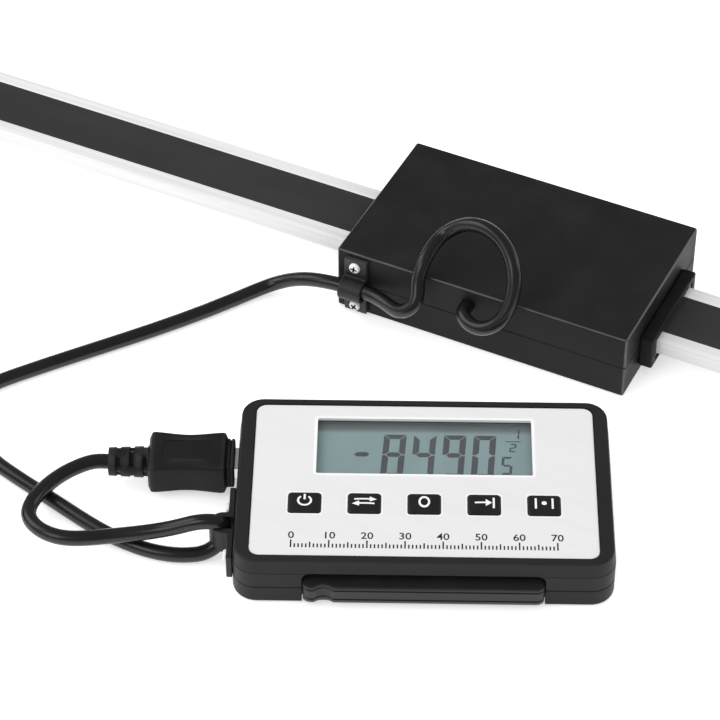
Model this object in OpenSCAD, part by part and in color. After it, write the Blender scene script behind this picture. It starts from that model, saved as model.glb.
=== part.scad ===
// Linear scale with a reading head, a coiled cable and a small remote display.
// Origin: centre of the reading head's base. X runs along the beam, Z points up.

/* [Beam] */
// Length of the beam
beam_l = 450; // [430:5:700]
// Width of the beam
beam_w = 25.4; // [22:0.2:28]
// Thickness of the beam
beam_t = 5; // [4:0.1:6]
// Height of the beam's underside above the head's base
beam_z = 6.5; // [5.5:0.1:7]
// Length of beam to the left of the head's centre
beam_left = 240; // [200:5:260]
// Rounding of the beam's long edges
beam_edge = 0.5; // [0.2:0.1:1]
// Width of the scale strip let into the beam
strip_w = 16.4; // [10:0.2:17]
// Thickness of the scale strip
strip_t = 0.5; // [0.3:0.1:1]
// Bare length of beam past each end of the strip
strip_end = 25; // [24:1:40]
// Diameter of the fixing holes in the beam's ends
end_hole_d = 4.5; // [3:0.1:6]
// Distance from the beam's end to the first fixing hole
end_hole_edge = 6; // [5:0.5:8]
// Distance between the two fixing holes at one end
end_hole_pitch = 12; // [10:0.5:14]

/* [Reading head] */
// Length of the head along the beam
head_l = 90; // [86:1:120]
// Width of the head across the beam
head_w = 54; // [50:1:66]
// Height of the head
head_h = 21.5; // [20:0.5:26]
// Height of the line where the two halves meet
head_split = 10.75; // [9:0.05:11.4]
// Rounding of the head's outer edges
head_edge = 0.8; // [0.4:0.1:1.5]
// Wall of the upper half
head_wall = 2.2; // [1.6:0.1:3]
// Depth of the two screws' counterbores in the base
counterbore_h = 2.4; // [2:0.1:3]
// Distance from the head's sides to its housing screws
head_screw_inset = 4.8; // [4.4:0.1:6]
// Diameter of a boss round a housing screw
head_boss_d = 6.4; // [5:0.2:8]
// Room between the beam and the openings in the head's end walls
passage_gap = 0.8; // [0.4:0.1:1.2]

/* [Head inserts] */
// Distance between the threaded inserts along the beam
insert_x = 60; // [50:1:68]
// Distance between the threaded inserts across the beam
insert_y = 42; // [40:1:44]
// Thread bore of an insert
insert_bore = 3.3; // [2.5:0.1:3.6]
// Outer diameter of an insert
insert_d = 5.6; // [5:0.1:7]
// Length of an insert
insert_l = 6; // [4:0.5:8]

/* [Guides and reader] */
// Distance from a guide rail's end to the head's end
rail_end = 6; // [4:0.5:20]
// Thickness of a guide rail beside the beam
rail_side = 3; // [2:0.1:3.2]
// Thickness of a guide rail under and over the beam
rail_lip_t = 1.4; // [1:0.1:1.8]
// How far a guide rail reaches over the beam's edge
rail_reach = 3.2; // [2:0.1:4]
// Running clearance between the beam and what guides it
guide_clear = 0.05; // [0.03:0.01:0.09]
// Length of the reader board
reader_l = 66; // [56:1:76]
// Thickness of the reader board
reader_t = 1.6; // [1:0.1:2]
// Air gap between the reader board and the scale strip
reader_gap = 0.4; // [0.2:0.1:0.8]
// Gap between the reader board and the guide rails
reader_side_gap = 0.2; // [0.1:0.1:0.5]
// Distance between the ribs that hold the reader board
reader_rib_pitch = 50; // [40:1:54]
// Thickness of these ribs
reader_rib_t = 2; // [1.5:0.1:3]
// Side of the reader chip
chip_w = 10; // [6:0.5:14]
// Thickness of the reader chip
chip_t = 1.4; // [1:0.1:2]

/* [Wipers] */
// How far the right wiper block stands out from the head's end
wiper_l = 4.2; // [3:0.1:6]
// How deep the left wiper block sits in the head's end
wiper_in = 1.6; // [1.2:0.1:1.8]
// Width of a wiper block
wiper_w = 33; // [31:0.5:40]
// Height of a wiper block
wiper_h = 10.8; // [9.5:0.1:11.6]
// Rounding of a wiper block
wiper_edge = 1; // [0.4:0.1:1.5]
// Thickness of the rubber lip round the beam
lip_t = 1.2; // [0.8:0.1:1.5]
// How far the rubber lip sits back from the block's face
lip_sink = 0.3; // [0.1:0.1:1]

/* [Cable] */
// Diameter of the cable
cable_d = 4.2; // [4:0.1:4.4]
// Place of the cable's hole along the head
outlet_x = -3.5; // [-10:0.5:10]
// Height of the cable's hole in the head
outlet_z = 16; // [15.5:0.1:16.2]
// Outer diameter of the grommet in that hole
grommet_d = 6.6; // [6:0.1:7]
// Diameter of the coil's middle turn
coil_d = 45; // [42:1:50]
// Cable diameters across the coil's winding
coil_rows = 3; // [2:1:4]
// Width of the tie round the coil
tie_w = 8; // [5:1:14]
// Thickness of the tie
tie_t = 0.5; // [0.3:0.1:1]

/* [Head cable saddle] */
// Length of the saddle on the head
head_saddle_l = 19.3; // [18:0.1:19.6]
// Width of the saddle on the head
head_saddle_w = 7; // [5:0.5:9]
// Distance between its screws
head_saddle_pitch = 14.4; // [14:0.1:15]
// Thickness of its tabs
head_saddle_t = 1.5; // [1:0.1:2]
// Thickness of its bow
head_bow_t = 1.2; // [0.8:0.1:1.3]
// Distance from the head's face to the cable's centre in it
head_saddle_reach = 3.2; // [2.6:0.1:4]
// Place of the saddle along the head
head_saddle_x = -38.5; // [-40:0.5:-30]
// Height of the saddle's middle
head_saddle_z = 10.5; // [10.3:0.1:11]

/* [Display cable saddle] */
// Length of the saddle on the display
disp_saddle_l = 26; // [22:0.5:27]
// Width of the saddle on the display
disp_saddle_w = 7.5; // [6:0.5:8]
// Distance between its screws
disp_saddle_pitch = 17; // [16:0.5:18]
// Thickness of its tabs
disp_saddle_t = 1.6; // [1:0.1:2]
// Thickness of its bow
disp_bow_t = 1.8; // [1:0.1:2]
// Distance from the display's side to the cable's centre in it
disp_saddle_reach = 2.8; // [2.6:0.1:4]
// Distance from the display's front to the saddle
disp_saddle_in = 18; // [17:0.5:19]
// Height of the saddle's middle
disp_saddle_z = 7.75; // [7.7:0.05:8]

/* [Screws] */
// Shank diameter of the saddle screws
saddle_screw_d = 2; // [1.6:0.1:2.2]
// Head diameter of the saddle screws
saddle_screw_head = 3.6; // [3:0.1:4]
// Head height of the saddle screws
saddle_screw_h = 1.6; // [1:0.1:2]
// Length of the saddle screws below the head
saddle_screw_l = 4; // [3:0.1:5]
// Shank diameter of the housing screws
case_screw_d = 2.2; // [2:0.1:2.6]
// Head diameter of the housing screws
case_screw_head = 4; // [3.4:0.1:4.4]
// Head height of the housing screws
case_screw_h = 1.6; // [1:0.1:1.9]

/* [Display place] */
// Place of the display's centre along the beam
disp_x = 14.7; // [0:0.1:40]
// Place of the display's centre across the beam
disp_y = -95; // [-130:0.5:-90]
// Turn of the display about the vertical
disp_turn = 25; // [0:1:30]

/* [Display housing] */
// Length of the display housing
case_l = 101; // [99:0.5:120]
// Width of the display housing
case_w = 62; // [61:0.5:76]
// Height of the display housing
case_h = 15.6; // [15:0.1:18]
// Rounding of the housing's corners seen from above
case_corner = 6.5; // [5:0.1:8]
// Height of the line where the two halves meet
case_split = 5.8; // [5:0.1:6]
// Wall of the housing
case_wall = 2.2; // [1.8:0.1:2.6]
// Floor of the back half
case_floor = 2.2; // [2.2:0.1:2.6]
// Height of the line above which the side leans inwards
band_z = 10.9; // [10.8:0.1:12]
// How far the side leans inwards up to the rim
band_lean = 0.5; // [0:0.1:1]
// Rounding of the rim's outer edge
rim_edge = 0.6; // [0.2:0.1:1]
// Rounding of the back's outer edge
back_edge = 1.2; // [0.5:0.1:1.6]
// Distance from the housing's ends to its screws
case_screw_inset = 7; // [6.6:0.1:7.5]
// Diameter of a boss round a housing screw
case_boss_d = 6; // [5:0.1:6.4]

/* [Face plate and window] */
// Distance from the housing's ends to the face plate
plate_in_x = 4.5; // [4:0.1:6.5]
// Distance from the housing's long sides to the face plate
plate_in_y = 2.8; // [2.7:0.1:5]
// Thickness of the face plate
plate_t = 0.8; // [0.5:0.1:1]
// Rounding of the plate's corners
plate_corner = 2.8; // [1:0.1:4]
// How far the plate lies below the rim
plate_sink = 0.3; // [0.1:0.1:0.6]
// Gap between the plate and the rim
plate_gap = 0.2; // [0.1:0.05:0.4]
// Thickness of the deck under the plate
deck_t = 1.5; // [1.2:0.1:1.8]
// Length of the window
window_l = 58.2; // [50:0.2:60]
// Width of the window
window_w = 21; // [18:0.2:22]
// Distance from the housing's far side to the window's middle
window_in = 18.4; // [18:0.1:19]
// How far the lens reaches under the plate
lens_margin = 1; // [0.5:0.1:1.5]
// Length of the liquid crystal panel
lcd_l = 64; // [63.4:0.1:68]
// Width of the liquid crystal panel
lcd_w = 27; // [25.5:0.1:27.4]
// Thickness of the liquid crystal panel
lcd_t = 1.8; // [1.4:0.1:2.2]
// Width of an elastomer contact strip
zebra_w = 2; // [1.5:0.1:3]

/* [Keys] */
// Number of keys
key_count = 5; // [5]
// Length of a key
key_l = 8.7; // [7:0.1:10]
// Width of a key
key_w = 7.7; // [6:0.1:8.4]
// Distance from the face plate's ends to the end keys' middles
key_in = 14.2; // [13:0.1:16]
// Distance from the window's middle to the row of keys
key_back = 21.6; // [21.4:0.1:24]
// Bow of a key's far edge
key_bow = 0.5; // [0.2:0.1:1]
// Radius of a key's domed top
key_dome = 28; // [20:1:60]
// Clearance round a key
key_gap = 0.12; // [0.08:0.01:0.2]
// How far a key stands above the plate
key_rise = 0.9; // [0.7:0.1:1.5]
// Thickness of a key's stop flange
key_flange_t = 0.8; // [0.5:0.1:1]
// Width of a key's stop flange past the key
key_flange_w = 0.8; // [0.5:0.1:1]
// Travel of a key
key_travel = 0.6; // [0.4:0.1:0.7]
// Side of a key switch
switch_w = 6; // [5:0.1:7]

/* [Display board and cell] */
// Gap between the display board and the housing screws' bosses
board_end_gap = 1.5; // [1:0.1:3]
// Gap between the display board and the housing's long walls
board_side_gap = 3; // [2.5:0.1:4]
// Diameter of the posts that hold the display board
post_d = 4; // [3:0.5:5]
// Distance from the board's ends to its posts
post_in_x = 3; // [2.5:0.1:4]
// Distance from the board's sides to its posts
post_in_y = 3.8; // [3:0.1:5]
// Thickness of the display board
board_t = 1.6; // [1:0.1:1.8]
// Height of the display board's underside
board_z = 7; // [6.8:0.1:7.2]
// Diameter of the coin cell
cell_d = 20; // [18:0.5:22]
// Thickness of the coin cell
cell_t = 3.2; // [2.5:0.1:3.4]
// Place of the coin cell across the display
cell_y = 10; // [8:0.5:11]
// Wall of the cell's holder
holder_t = 1.5; // [1:0.1:2]
// Diameter of a back magnet
magnet_d = 8; // [6:0.5:9]
// Thickness of a back magnet
magnet_t = 1.5; // [1:0.1:1.8]
// Distance between the back magnets along the display
magnet_x = 70; // [64:1:74]
// Distance between the back magnets across the display
magnet_y = 32; // [26:1:34]

/* [Cell cover] */
// Width of the sliding cover over the cell
cover_w = 28; // [26:0.5:32]
// Thickness of that cover
cover_t = 1.4; // [1.2:0.1:1.5]
// Sliding clearance of that cover
cover_gap = 0.1; // [0.08:0.01:0.15]
// Width of the tongue along each side of the cover
tongue_w = 0.8; // [0.6:0.1:1.2]
// Thickness of that tongue
tongue_t = 0.6; // [0.4:0.1:0.7]
// Height of that tongue above the back
tongue_z = 0.5; // [0.4:0.1:0.6]
// Length of a grip groove in the cover
grip_groove_l = 16; // [10:0.5:20]
// Width of a grip groove
grip_groove_w = 0.6; // [0.4:0.1:1]
// Distance between the grip grooves
grip_groove_pitch = 1.6; // [1.2:0.1:2.5]
// Depth of a grip groove
grip_groove_t = 0.4; // [0.2:0.1:0.6]

/* [Front flap] */
// Length of the flap in the front wall
flap_l = 63.5; // [50:0.5:66]
// Height of the flap's underside above the back
flap_z = 1.2; // [0.8:0.1:1.6]
// Height of the flap's upper edge above the back
flap_top = 8.3; // [7.5:0.1:9]
// How far the flap's hinge lies behind the front wall
hinge_in = 1.1; // [1:0.05:1.2]
// Height of the flap's hinge
hinge_z = 3.6; // [3.6:0.1:3.8]
// Radius of the flap in front of its hinge
flap_front = 3.4; // [3:0.1:3.4]
// Radius of the flap behind its hinge
flap_back = 1.8; // [1.5:0.1:1.9]
// Diameter of the hinge pins
flap_pin_d = 1.5; // [1.2:0.1:1.6]
// How deep a pin sits in the flap and in the housing
flap_pin_grip = 3; // [2:0.5:5]
// Running clearance of the pins in the flap
flap_pin_clear = 0.05; // [0.03:0.01:0.09]
// Gap between the flap and its recess
flap_gap = 0.3; // [0.2:0.05:0.5]
// Height of the recess above the back
recess_top = 10.6; // [10.2:0.1:10.8]
// Width of a groove along the flap
groove_w = 0.5; // [0.3:0.1:0.8]
// Heights of the two grooves
groove_zs = [4, 7.2];
// Rounding of the flap's corners seen from above
flap_corner = 2.2; // [1:0.1:3]
// Radius of the finger notch
notch_r = 3.2; // [2:0.1:4]
// Distance from the flap's left end to the notch
notch_in = 5.5; // [4:0.5:12]
// Depth of the notch
notch_depth = 1.2; // [0.6:0.1:1.4]

/* [Plug and socket] */
// Distance from the display's far side to the plug's middle
plug_in = 17.7; // [17:0.1:18]
// Height of the plug's middle
plug_z = 7.4; // [7.3:0.1:7.6]
// Length of the plug's grip
grip_l = 21.4; // [16:0.1:24]
// Width of the plug's grip
grip_w = 14.8; // [13:0.1:16]
// Thickness of the plug's grip
grip_h = 10.2; // [9:0.1:11]
// Depth of the waist in the grip's sides
grip_waist = 0.8; // [0.3:0.1:1.2]
// Rounding of the grip's edges
grip_edge = 1.3; // [1:0.1:2.5]
// Length of the plug's nose
nose_l = 2; // [1.5:0.1:3]
// Width of the plug's nose
nose_w = 11.3; // [10:0.1:12]
// Thickness of the plug's nose
nose_h = 8; // [7:0.1:8.4]
// Gap between the nose and the display's side
nose_gap = 1.1; // [0.5:0.1:2]
// Width of the plug's metal shell
shell_w = 8.2; // [7:0.1:8.6]
// Thickness of the plug's metal shell
shell_h = 3.4; // [3:0.1:3.8]
// Sheet of that metal shell
shell_t = 0.4; // [0.3:0.1:0.6]
// How far that shell reaches into the socket
shell_in = 6; // [4:0.5:7]
// Wall of the socket's housing
socket_wall = 1.2; // [1:0.1:1.4]
// Length of the strain relief
relief_l = 11; // [10:0.5:16]
// Outer diameter of the strain relief at its cable end
relief_d = 7.8; // [7:0.1:8.6]
// Outer diameter of the strain relief at the grip
relief_root_d = 8.8; // [8:0.1:9.2]
// Diameter of the strain relief's core
relief_core = 5.8; // [5:0.1:6.4]
// Number of its slot rings
relief_slots = 3; // [2:1:4]
// Width of a slot
slot_w = 1.3; // [0.8:0.1:1.6]
// Width of the webs across the slots
web_w = 3; // [2:0.1:4]

/* [Hidden] */
$fn = 48;
little = 0.01;

// Colours
black = [0.09, 0.09, 0.1];
charcoal = [0.17, 0.17, 0.18];
grey = [0.45, 0.45, 0.46];
silver = [0.86, 0.87, 0.88];
nickel = [0.78, 0.78, 0.76];
brass = [0.72, 0.58, 0.3];
green = [0.08, 0.32, 0.2];

// Head: heights and places that follow from the beam
beam_mid_z = beam_z + beam_t / 2;
beam_top = beam_z + beam_t;
beam_x = beam_l / 2 - beam_left;
rail_l = head_l - 2 * rail_end;
rail_half = beam_w / 2 + guide_clear + rail_side;
rail_h = beam_t + 2 * guide_clear + 2 * rail_lip_t;
rail_z = beam_z - guide_clear - rail_lip_t;
rail_in = beam_w / 2 - rail_reach;
rail_top = rail_z + rail_h;
reader_z = beam_top + reader_gap;
reader_top = reader_z + reader_t;
reader_w = 2 * (rail_in - reader_side_gap);
head_screw_x = head_l / 2 - head_screw_inset;
head_screw_y = head_w / 2 - head_screw_inset;
head_screw_up = 5;
wiper_z = beam_mid_z - wiper_h / 2;
corners = [[-1, -1], [1, -1], [-1, 1], [1, 1]];

// Display: heights from the rim down
plate_top = case_h - plate_sink;
deck_top = plate_top - plate_t;
deck_under = deck_top - deck_t;
lcd_z = deck_under - lcd_t;
board_top = board_z + board_t;
wall_in_x = case_l / 2 - case_wall;
wall_in_y = case_w / 2 - case_wall;
case_screw_x = case_l / 2 - case_screw_inset;
case_screw_y = case_w / 2 - case_screw_inset;
case_screw_up = 4;
plate_l = case_l - 2 * plate_in_x;
plate_w = case_w - 2 * plate_in_y;
window_y = case_w / 2 - window_in;
key_y = window_y - key_back;
key_pitch = (plate_l - 2 * key_in) / (key_count - 1);
disp_saddle_y = -case_w / 2 + disp_saddle_in;
plug_y = case_w / 2 - plug_in;
board_l = 2 * (case_screw_x - case_boss_d / 2 - board_end_gap);
board_w = 2 * (wall_in_y - board_side_gap);
post_x = board_l / 2 - post_in_x;
post_y = board_w / 2 - post_in_y;
key_top = plate_top + key_rise;
key_foot = deck_under - key_flange_t;
holder_top_t = 1;
cell_z = board_z - holder_top_t - cell_t;
cover_y0 = cell_y - cell_d / 2 - 3;

// Flap
hinge_y = -case_w / 2 + hinge_in;
recess_l = flap_l + 2 * flap_gap;
recess_back = hinge_y + flap_back + flap_gap;
recess_skin = 1.2;
groove_depth = 0.4;

// Plug, measured from the display's left side outwards
side_x = -case_l / 2;
nose_x = side_x - nose_gap - nose_l;
grip_x = nose_x - grip_l;
relief_x = grip_x - relief_l;
socket_l = shell_in + 1.6;
socket_w = shell_w + 2 * socket_wall;
socket_h = shell_h + 2 * socket_wall;

// Coil
coil_centre = [-142, -140];
coil_section = coil_rows * cable_d;
cable_sides = 10;
tie_angle = 200;

// Route of the cable from the head to its coil
head_route = [[-3.5, -27, 16], [-3.5, -30.2, 16], [1.6, -34.2, 15.6], [8.7, -33.6, 19.5],
    [10.8, -29.2, 26], [8.3, -23.8, 33.1], [1.9, -18.8, 36.5], [-8.8, -15.8, 35.4],
    [-16.3, -17.6, 29.7], [-17.8, -26.2, 26.1], [-17.6, -30.8, 20.6], [-16.8, -33.6, 17.5],
    [-19.5, -35.4, 14.2], [-26.7, -32.6, 11.9], [-35, -30.2, 11.2], [-42, -30.2, 11],
    [-54, -30.5, 8.9], [-64, -31.3, 3.6], [-72, -41, 2.1], [-112, -95.6, 2.1],
    [-119.8, -110.6, 2.1], [-118, -126, 2.6]];

// Route of the cable from its coil through the display's saddle to the plug
display_route = [[-128.5, -116.6, 10.6], [-113.5, -123.3, 7.2], [-98, -129.5, 2.3],
    [-79.4, -134.2, 2.1], [-48.8, -139.6, 2.1], [-33.5, -135.2, 2.2], [-29.1, -130.9, 4.4],
    [-28.1, -129.3, 8.2], [-28.6, -130.1, 11.4], [-32.7, -132.1, 12.2], [-38.5, -134.4, 10],
    [-56.6, -143.7, 6.4], [-70, -149.2, 6.2], [-79.2, -145.1, 6], [-80.3, -135.8, 6.4],
    [-75.4, -123.9, 7], [-72, -120.8, 7.4], [-68.9, -119.3, 7.4]];

// ---------- shapes used by several pieces ----------

module round_rect(l, w, r) {
    square([l - 2 * r, w], center = true);
    square([l, w - 2 * r], center = true);
    for (x = [-1, 1], y = [-1, 1])
        translate([x * (l / 2 - r), y * (w / 2 - r)]) circle(r);
}

// A profile in Y and Z, drawn out along X from x0
module along_x(x0, l) {
    translate([x0, 0, 0]) rotate([90, 0, 90]) linear_extrude(l) children();
}

// A box with rounded edges, standing on z = 0
module soft_block(l, w, h, r) {
    intersection() {
        linear_extrude(h) round_rect(l, w, r);
        along_x(-l / 2, l) translate([0, h / 2]) round_rect(w, h, r);
        translate([0, w / 2, h / 2]) rotate([90, 0, 0]) linear_extrude(w) round_rect(l, h, r);
    }
}

module slab(l, w, z0, z1) {
    translate([-l / 2, -w / 2, z0]) cube([l, w, z1 - z0]);
}

module at_corners(x, y) {
    for (c = corners) translate([c[0] * x, c[1] * y, 0]) children();
}

// Pan head screw pointing down from z = 0, with a cross recess
module pan_screw(d, l, head_d, head_h) {
    difference() {
        union() {
            translate([0, 0, -l]) cylinder(d = d, h = l + little);
            cylinder(d = head_d, h = head_h * 0.55);
            translate([0, 0, head_h * 0.55])
                cylinder(d1 = head_d, d2 = head_d * 0.72, h = head_h * 0.45);
        }
        for (a = [0, 90]) rotate(a)
            translate([-head_d * 0.32, -head_d * 0.07, head_h * 0.45])
                cube([head_d * 0.64, head_d * 0.14, head_h]);
    }
}

// Strap saddle lying on z = 0 with the cable crossing it along Y
module saddle(l, w, pitch, tab_t, bow_t, reach, screw_d) {
    bow_r = cable_d / 2 + bow_t;
    difference() {
        translate([0, w / 2, 0]) rotate([90, 0, 0]) linear_extrude(w) difference() {
            union() {
                translate([-l / 2, 0]) square([l, tab_t]);
                intersection() {
                    translate([0, reach]) circle(bow_r);
                    translate([-bow_r, 0]) square([2 * bow_r, reach + bow_r]);
                }
                translate([-bow_r, 0]) square([2 * bow_r, reach]);
            }
            translate([0, reach]) circle(d = cable_d);
            translate([-cable_d / 2, -1]) square([cable_d, reach + 1]);
        }
        for (x = [-1, 1]) translate([x * pitch / 2, 0, -1]) cylinder(d = screw_d, h = tab_t + 2);
    }
}

module in_display() {
    translate([disp_x, disp_y, 0]) rotate(disp_turn) children();
}

// ---------- cable ----------

function unit(v) = v / norm(v);
function heading(p, i) =
    i == 0 ? unit(p[1] - p[0]) :
    i == len(p) - 1 ? unit(p[i] - p[i - 1]) :
    unit(unit(p[i] - p[i - 1]) + unit(p[i + 1] - p[i]));
function square_to(v, t) = unit(v - (v * t) * t);
function side_way(p, i) = square_to(i == 0 ? [0.3, 0.2, 1] : side_way(p, i - 1), heading(p, i));

// Round tube through the points of a route
module tube(route, d) {
    n = cable_sides;
    last = len(route) - 1;
    points = [for (i = [0:last])
        let (u = side_way(route, i), v = cross(heading(route, i), u))
        for (k = [0:n - 1]) route[i] + d / 2 * (cos(k * 360 / n) * u + sin(k * 360 / n) * v)];
    sides = [for (i = [0:last - 1], k = [0:n - 1])
        let (a = i * n + k, b = i * n + (k + 1) % n)
        each [[a, a + n, b + n], [a, b + n, b]]];
    polyhedron(points, concat(sides, [[for (k = [0:n - 1]) k]],
        [[for (k = [n - 1:-1:0]) last * n + k]]), convexity = 10);
}

module cord_head_side() { color(black) tube(head_route, cable_d); }

module cord_display_side() { color(black) tube(display_route, cable_d); }

module cord_coil() {
    color(black) translate([coil_centre[0], coil_centre[1], tie_t]) rotate_extrude()
        translate([coil_d / 2, coil_section / 2])
            round_rect(coil_section, coil_section, cable_d / 2);
}

module coil_tie() {
    arc = tie_w / (coil_d / 2) * 180 / PI;
    color(charcoal) translate([coil_centre[0], coil_centre[1], tie_t]) rotate(tie_angle)
        rotate_extrude(angle = arc) translate([coil_d / 2, coil_section / 2]) difference() {
            round_rect(coil_section + 2 * tie_t, coil_section + 2 * tie_t, cable_d / 2 + tie_t);
            round_rect(coil_section, coil_section, cable_d / 2);
        }
}

// ---------- reading head ----------

module head_form() { soft_block(head_l, head_w, head_h, head_edge); }

module passage() {
    translate([0, 0, beam_mid_z])
        cube([head_l + 2, beam_w + 2 * passage_gap, beam_t + 2 * passage_gap], center = true);
}

module head_lower() {
    color(black) difference() {
        intersection() {
            head_form();
            slab(head_l, head_w, 0, head_split);
        }
        passage();
        end_pocket(-head_l / 2 - 1, wiper_in + 1);
        slab(rail_l, 2 * rail_half, rail_z, head_split + 1);
        at_corners(insert_x / 2, insert_y / 2)
            translate([0, 0, -1]) cylinder(d = insert_d, h = insert_l + 1);
        at_corners(head_screw_x, head_screw_y) {
            translate([0, 0, -1]) cylinder(d = case_screw_d, h = head_split + 2);
            translate([0, 0, -1]) cylinder(d = case_screw_head, h = counterbore_h + 1);
        }
        translate([head_saddle_x, -head_w / 2, head_saddle_z - head_saddle_pitch / 2])
            rotate([90, 0, 0]) translate([0, 0, -saddle_screw_l + head_saddle_t])
                cylinder(d = saddle_screw_d, h = saddle_screw_l);
    }
}

module head_upper() {
    inner_l = head_l - 2 * head_wall;
    inner_w = head_w - 2 * head_wall;
    roof = head_h - head_wall;
    color(black) difference() {
        union() {
            difference() {
                intersection() {
                    head_form();
                    slab(head_l, head_w, head_split, head_h);
                }
                slab(inner_l, inner_w, head_split - 1, roof);
            }
            intersection() {
                at_corners(head_screw_x, head_screw_y)
                    translate([0, 0, head_split]) cylinder(d = head_boss_d, h = roof - head_split);
                slab(inner_l + 1, inner_w + 1, head_split, roof);
            }
            for (x = [-1, 1]) translate([x * reader_rib_pitch / 2, 0, 0])
                slab(reader_rib_t, inner_w + 1, rail_top, roof + 0.5);
            // boss behind the saddle's upper screw
            translate([head_saddle_x, -head_w / 2 + head_wall / 2, head_saddle_z + head_saddle_pitch / 2])
                rotate([-90, 0, 0]) cylinder(d = 2 * saddle_screw_d - 1, h = head_wall);
        }
        passage();
        end_pocket(-head_l / 2 - 1, wiper_in + 1);
        translate([0, 0, little]) slab(reader_rib_pitch + 2 * reader_rib_t, reader_w + 2 * little,
            rail_top - 1, reader_top - little);
        at_corners(head_screw_x, head_screw_y)
            translate([0, 0, head_split - 1]) cylinder(d = case_screw_d, h = head_screw_up + 1);
        translate([outlet_x, -head_w / 2 - 1, outlet_z])
            rotate([-90, 0, 0]) cylinder(d = grommet_d, h = head_wall + 2);
        translate([head_saddle_x, -head_w / 2 + saddle_screw_l - head_saddle_t,
            head_saddle_z + head_saddle_pitch / 2])
            rotate([90, 0, 0]) cylinder(d = saddle_screw_d, h = saddle_screw_l);
    }
}

// Outline of the left wiper block, which sits flush in the head's end
module end_pocket(x0, l) {
    along_x(x0, l) translate([0, beam_mid_z]) round_rect(wiper_w, wiper_h, wiper_edge);
}

module beam_slot(x0, l, grow) {
    translate([x0, -beam_w / 2 - grow, beam_z - grow]) cube([l, beam_w + 2 * grow, beam_t + 2 * grow]);
}

module wiper_left() {
    color(black) difference() {
        end_pocket(-head_l / 2, wiper_in);
        beam_slot(-head_l / 2 - 1, wiper_in + 2, lip_t);
    }
}

module wiper_right() {
    color(black) difference() {
        translate([head_l / 2 + wiper_l / 2, 0, wiper_z])
            soft_block(wiper_l, wiper_w, wiper_h, wiper_edge);
        beam_slot(head_l / 2 - 1, wiper_l + 2, lip_t);
    }
}

module lip(x0, l) {
    color(grey) difference() {
        beam_slot(x0, l, lip_t);
        beam_slot(x0 - 1, l + 2, guide_clear);
    }
}

module lip_left() { lip(-head_l / 2 + lip_sink, wiper_in - lip_sink); }
module lip_right() { lip(head_l / 2, wiper_l - lip_sink); }

module rail(side) {
    color(grey) difference() {
        translate([-rail_l / 2, side > 0 ? rail_in : -rail_half, rail_z])
            cube([rail_l, rail_half - rail_in, rail_h]);
        translate([0, 0, beam_mid_z])
            cube([rail_l + 1, beam_w + 2 * guide_clear, beam_t + 2 * guide_clear], center = true);
    }
}

module rail_front() { rail(-1); }
module rail_rear() { rail(1); }

module reader_board() {
    color(green) slab(reader_l, reader_w, reader_z, reader_top);
}

module reader_chip() {
    color(black) slab(chip_w, chip_w, reader_top, reader_top + chip_t);
}

module head_inserts() {
    color(brass) at_corners(insert_x / 2, insert_y / 2) difference() {
        cylinder(d = insert_d, h = insert_l);
        translate([0, 0, -1]) cylinder(d = insert_bore, h = insert_l + 2);
    }
}

module head_screws() {
    color(nickel) at_corners(head_screw_x, head_screw_y)
        translate([0, 0, counterbore_h]) rotate([180, 0, 0])
            pan_screw(case_screw_d, head_split + head_screw_up - counterbore_h,
                case_screw_head, case_screw_h);
}

module cable_grommet() {
    color(black) translate([outlet_x, -head_w / 2, outlet_z]) rotate([-90, 0, 0])
        cylinder(d = grommet_d, h = head_wall);
}

module on_head_front() {
    translate([head_saddle_x, -head_w / 2, head_saddle_z]) rotate([90, 0, 0]) children();
}

module head_saddle() {
    color(black) on_head_front() rotate(90)
        saddle(head_saddle_l, head_saddle_w, head_saddle_pitch, head_saddle_t, head_bow_t,
            head_saddle_reach, saddle_screw_d);
}

module head_saddle_screws() {
    color(nickel) on_head_front()
        for (s = [-1, 1]) translate([0, s * head_saddle_pitch / 2, head_saddle_t])
            pan_screw(saddle_screw_d, saddle_screw_l, saddle_screw_head, saddle_screw_h);
}

// ---------- beam ----------

module beam() {
    color(silver) difference() {
        along_x(-beam_left, beam_l) translate([0, beam_mid_z]) difference() {
            round_rect(beam_w, beam_t, beam_edge);
        }
        translate([beam_x, 0, 0]) slab(beam_l - 2 * strip_end, strip_w, beam_top - strip_t, beam_top + 1);
        for (s = [-1, 1], i = [0, 1])
            translate([beam_x + s * (beam_l / 2 - end_hole_edge - i * end_hole_pitch), 0, beam_z - 1])
                cylinder(d = end_hole_d, h = beam_t + 2);
    }
}

module scale_strip() {
    color(charcoal) translate([beam_x, 0, 0])
        slab(beam_l - 2 * strip_end, strip_w, beam_top - strip_t, beam_top);
}

// ---------- display housing ----------

// Outline of one corner: rounded back edge, upright side, leaning band, rounded rim
module corner_post() {
    r = case_corner;
    rotate_extrude() intersection() {
        union() {
            translate([0, back_edge]) square([r, band_z - back_edge]);
            square([r - back_edge, band_z]);
            translate([r - back_edge, back_edge]) circle(back_edge);
            polygon([[0, band_z], [r, band_z], [r - band_lean, case_h - rim_edge],
                [r - band_lean - rim_edge, case_h], [0, case_h]]);
        }
        square([r, case_h]);
    }
}

module case_form() {
    hull() at_corners(case_l / 2 - case_corner, case_w / 2 - case_corner) corner_post();
}

module flap_recess(grow = 0) {
    translate([-recess_l / 2 - grow, -case_w / 2 - 2, -1])
        cube([recess_l + 2 * grow, recess_back + grow + case_w / 2 + 2, recess_top + grow + 1]);
    // room for the flap's foot as it swings under
    intersection() {
        hinge_line(2 * (flap_front + flap_gap + grow), -recess_l / 2 - grow, recess_l + 2 * grow);
        slab(case_l, case_w, -1, hinge_z + grow);
    }
}

module hinge_line(d, x0, l) {
    translate([x0, hinge_y, hinge_z]) rotate([0, 90, 0]) cylinder(d = d, h = l);
}

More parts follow.
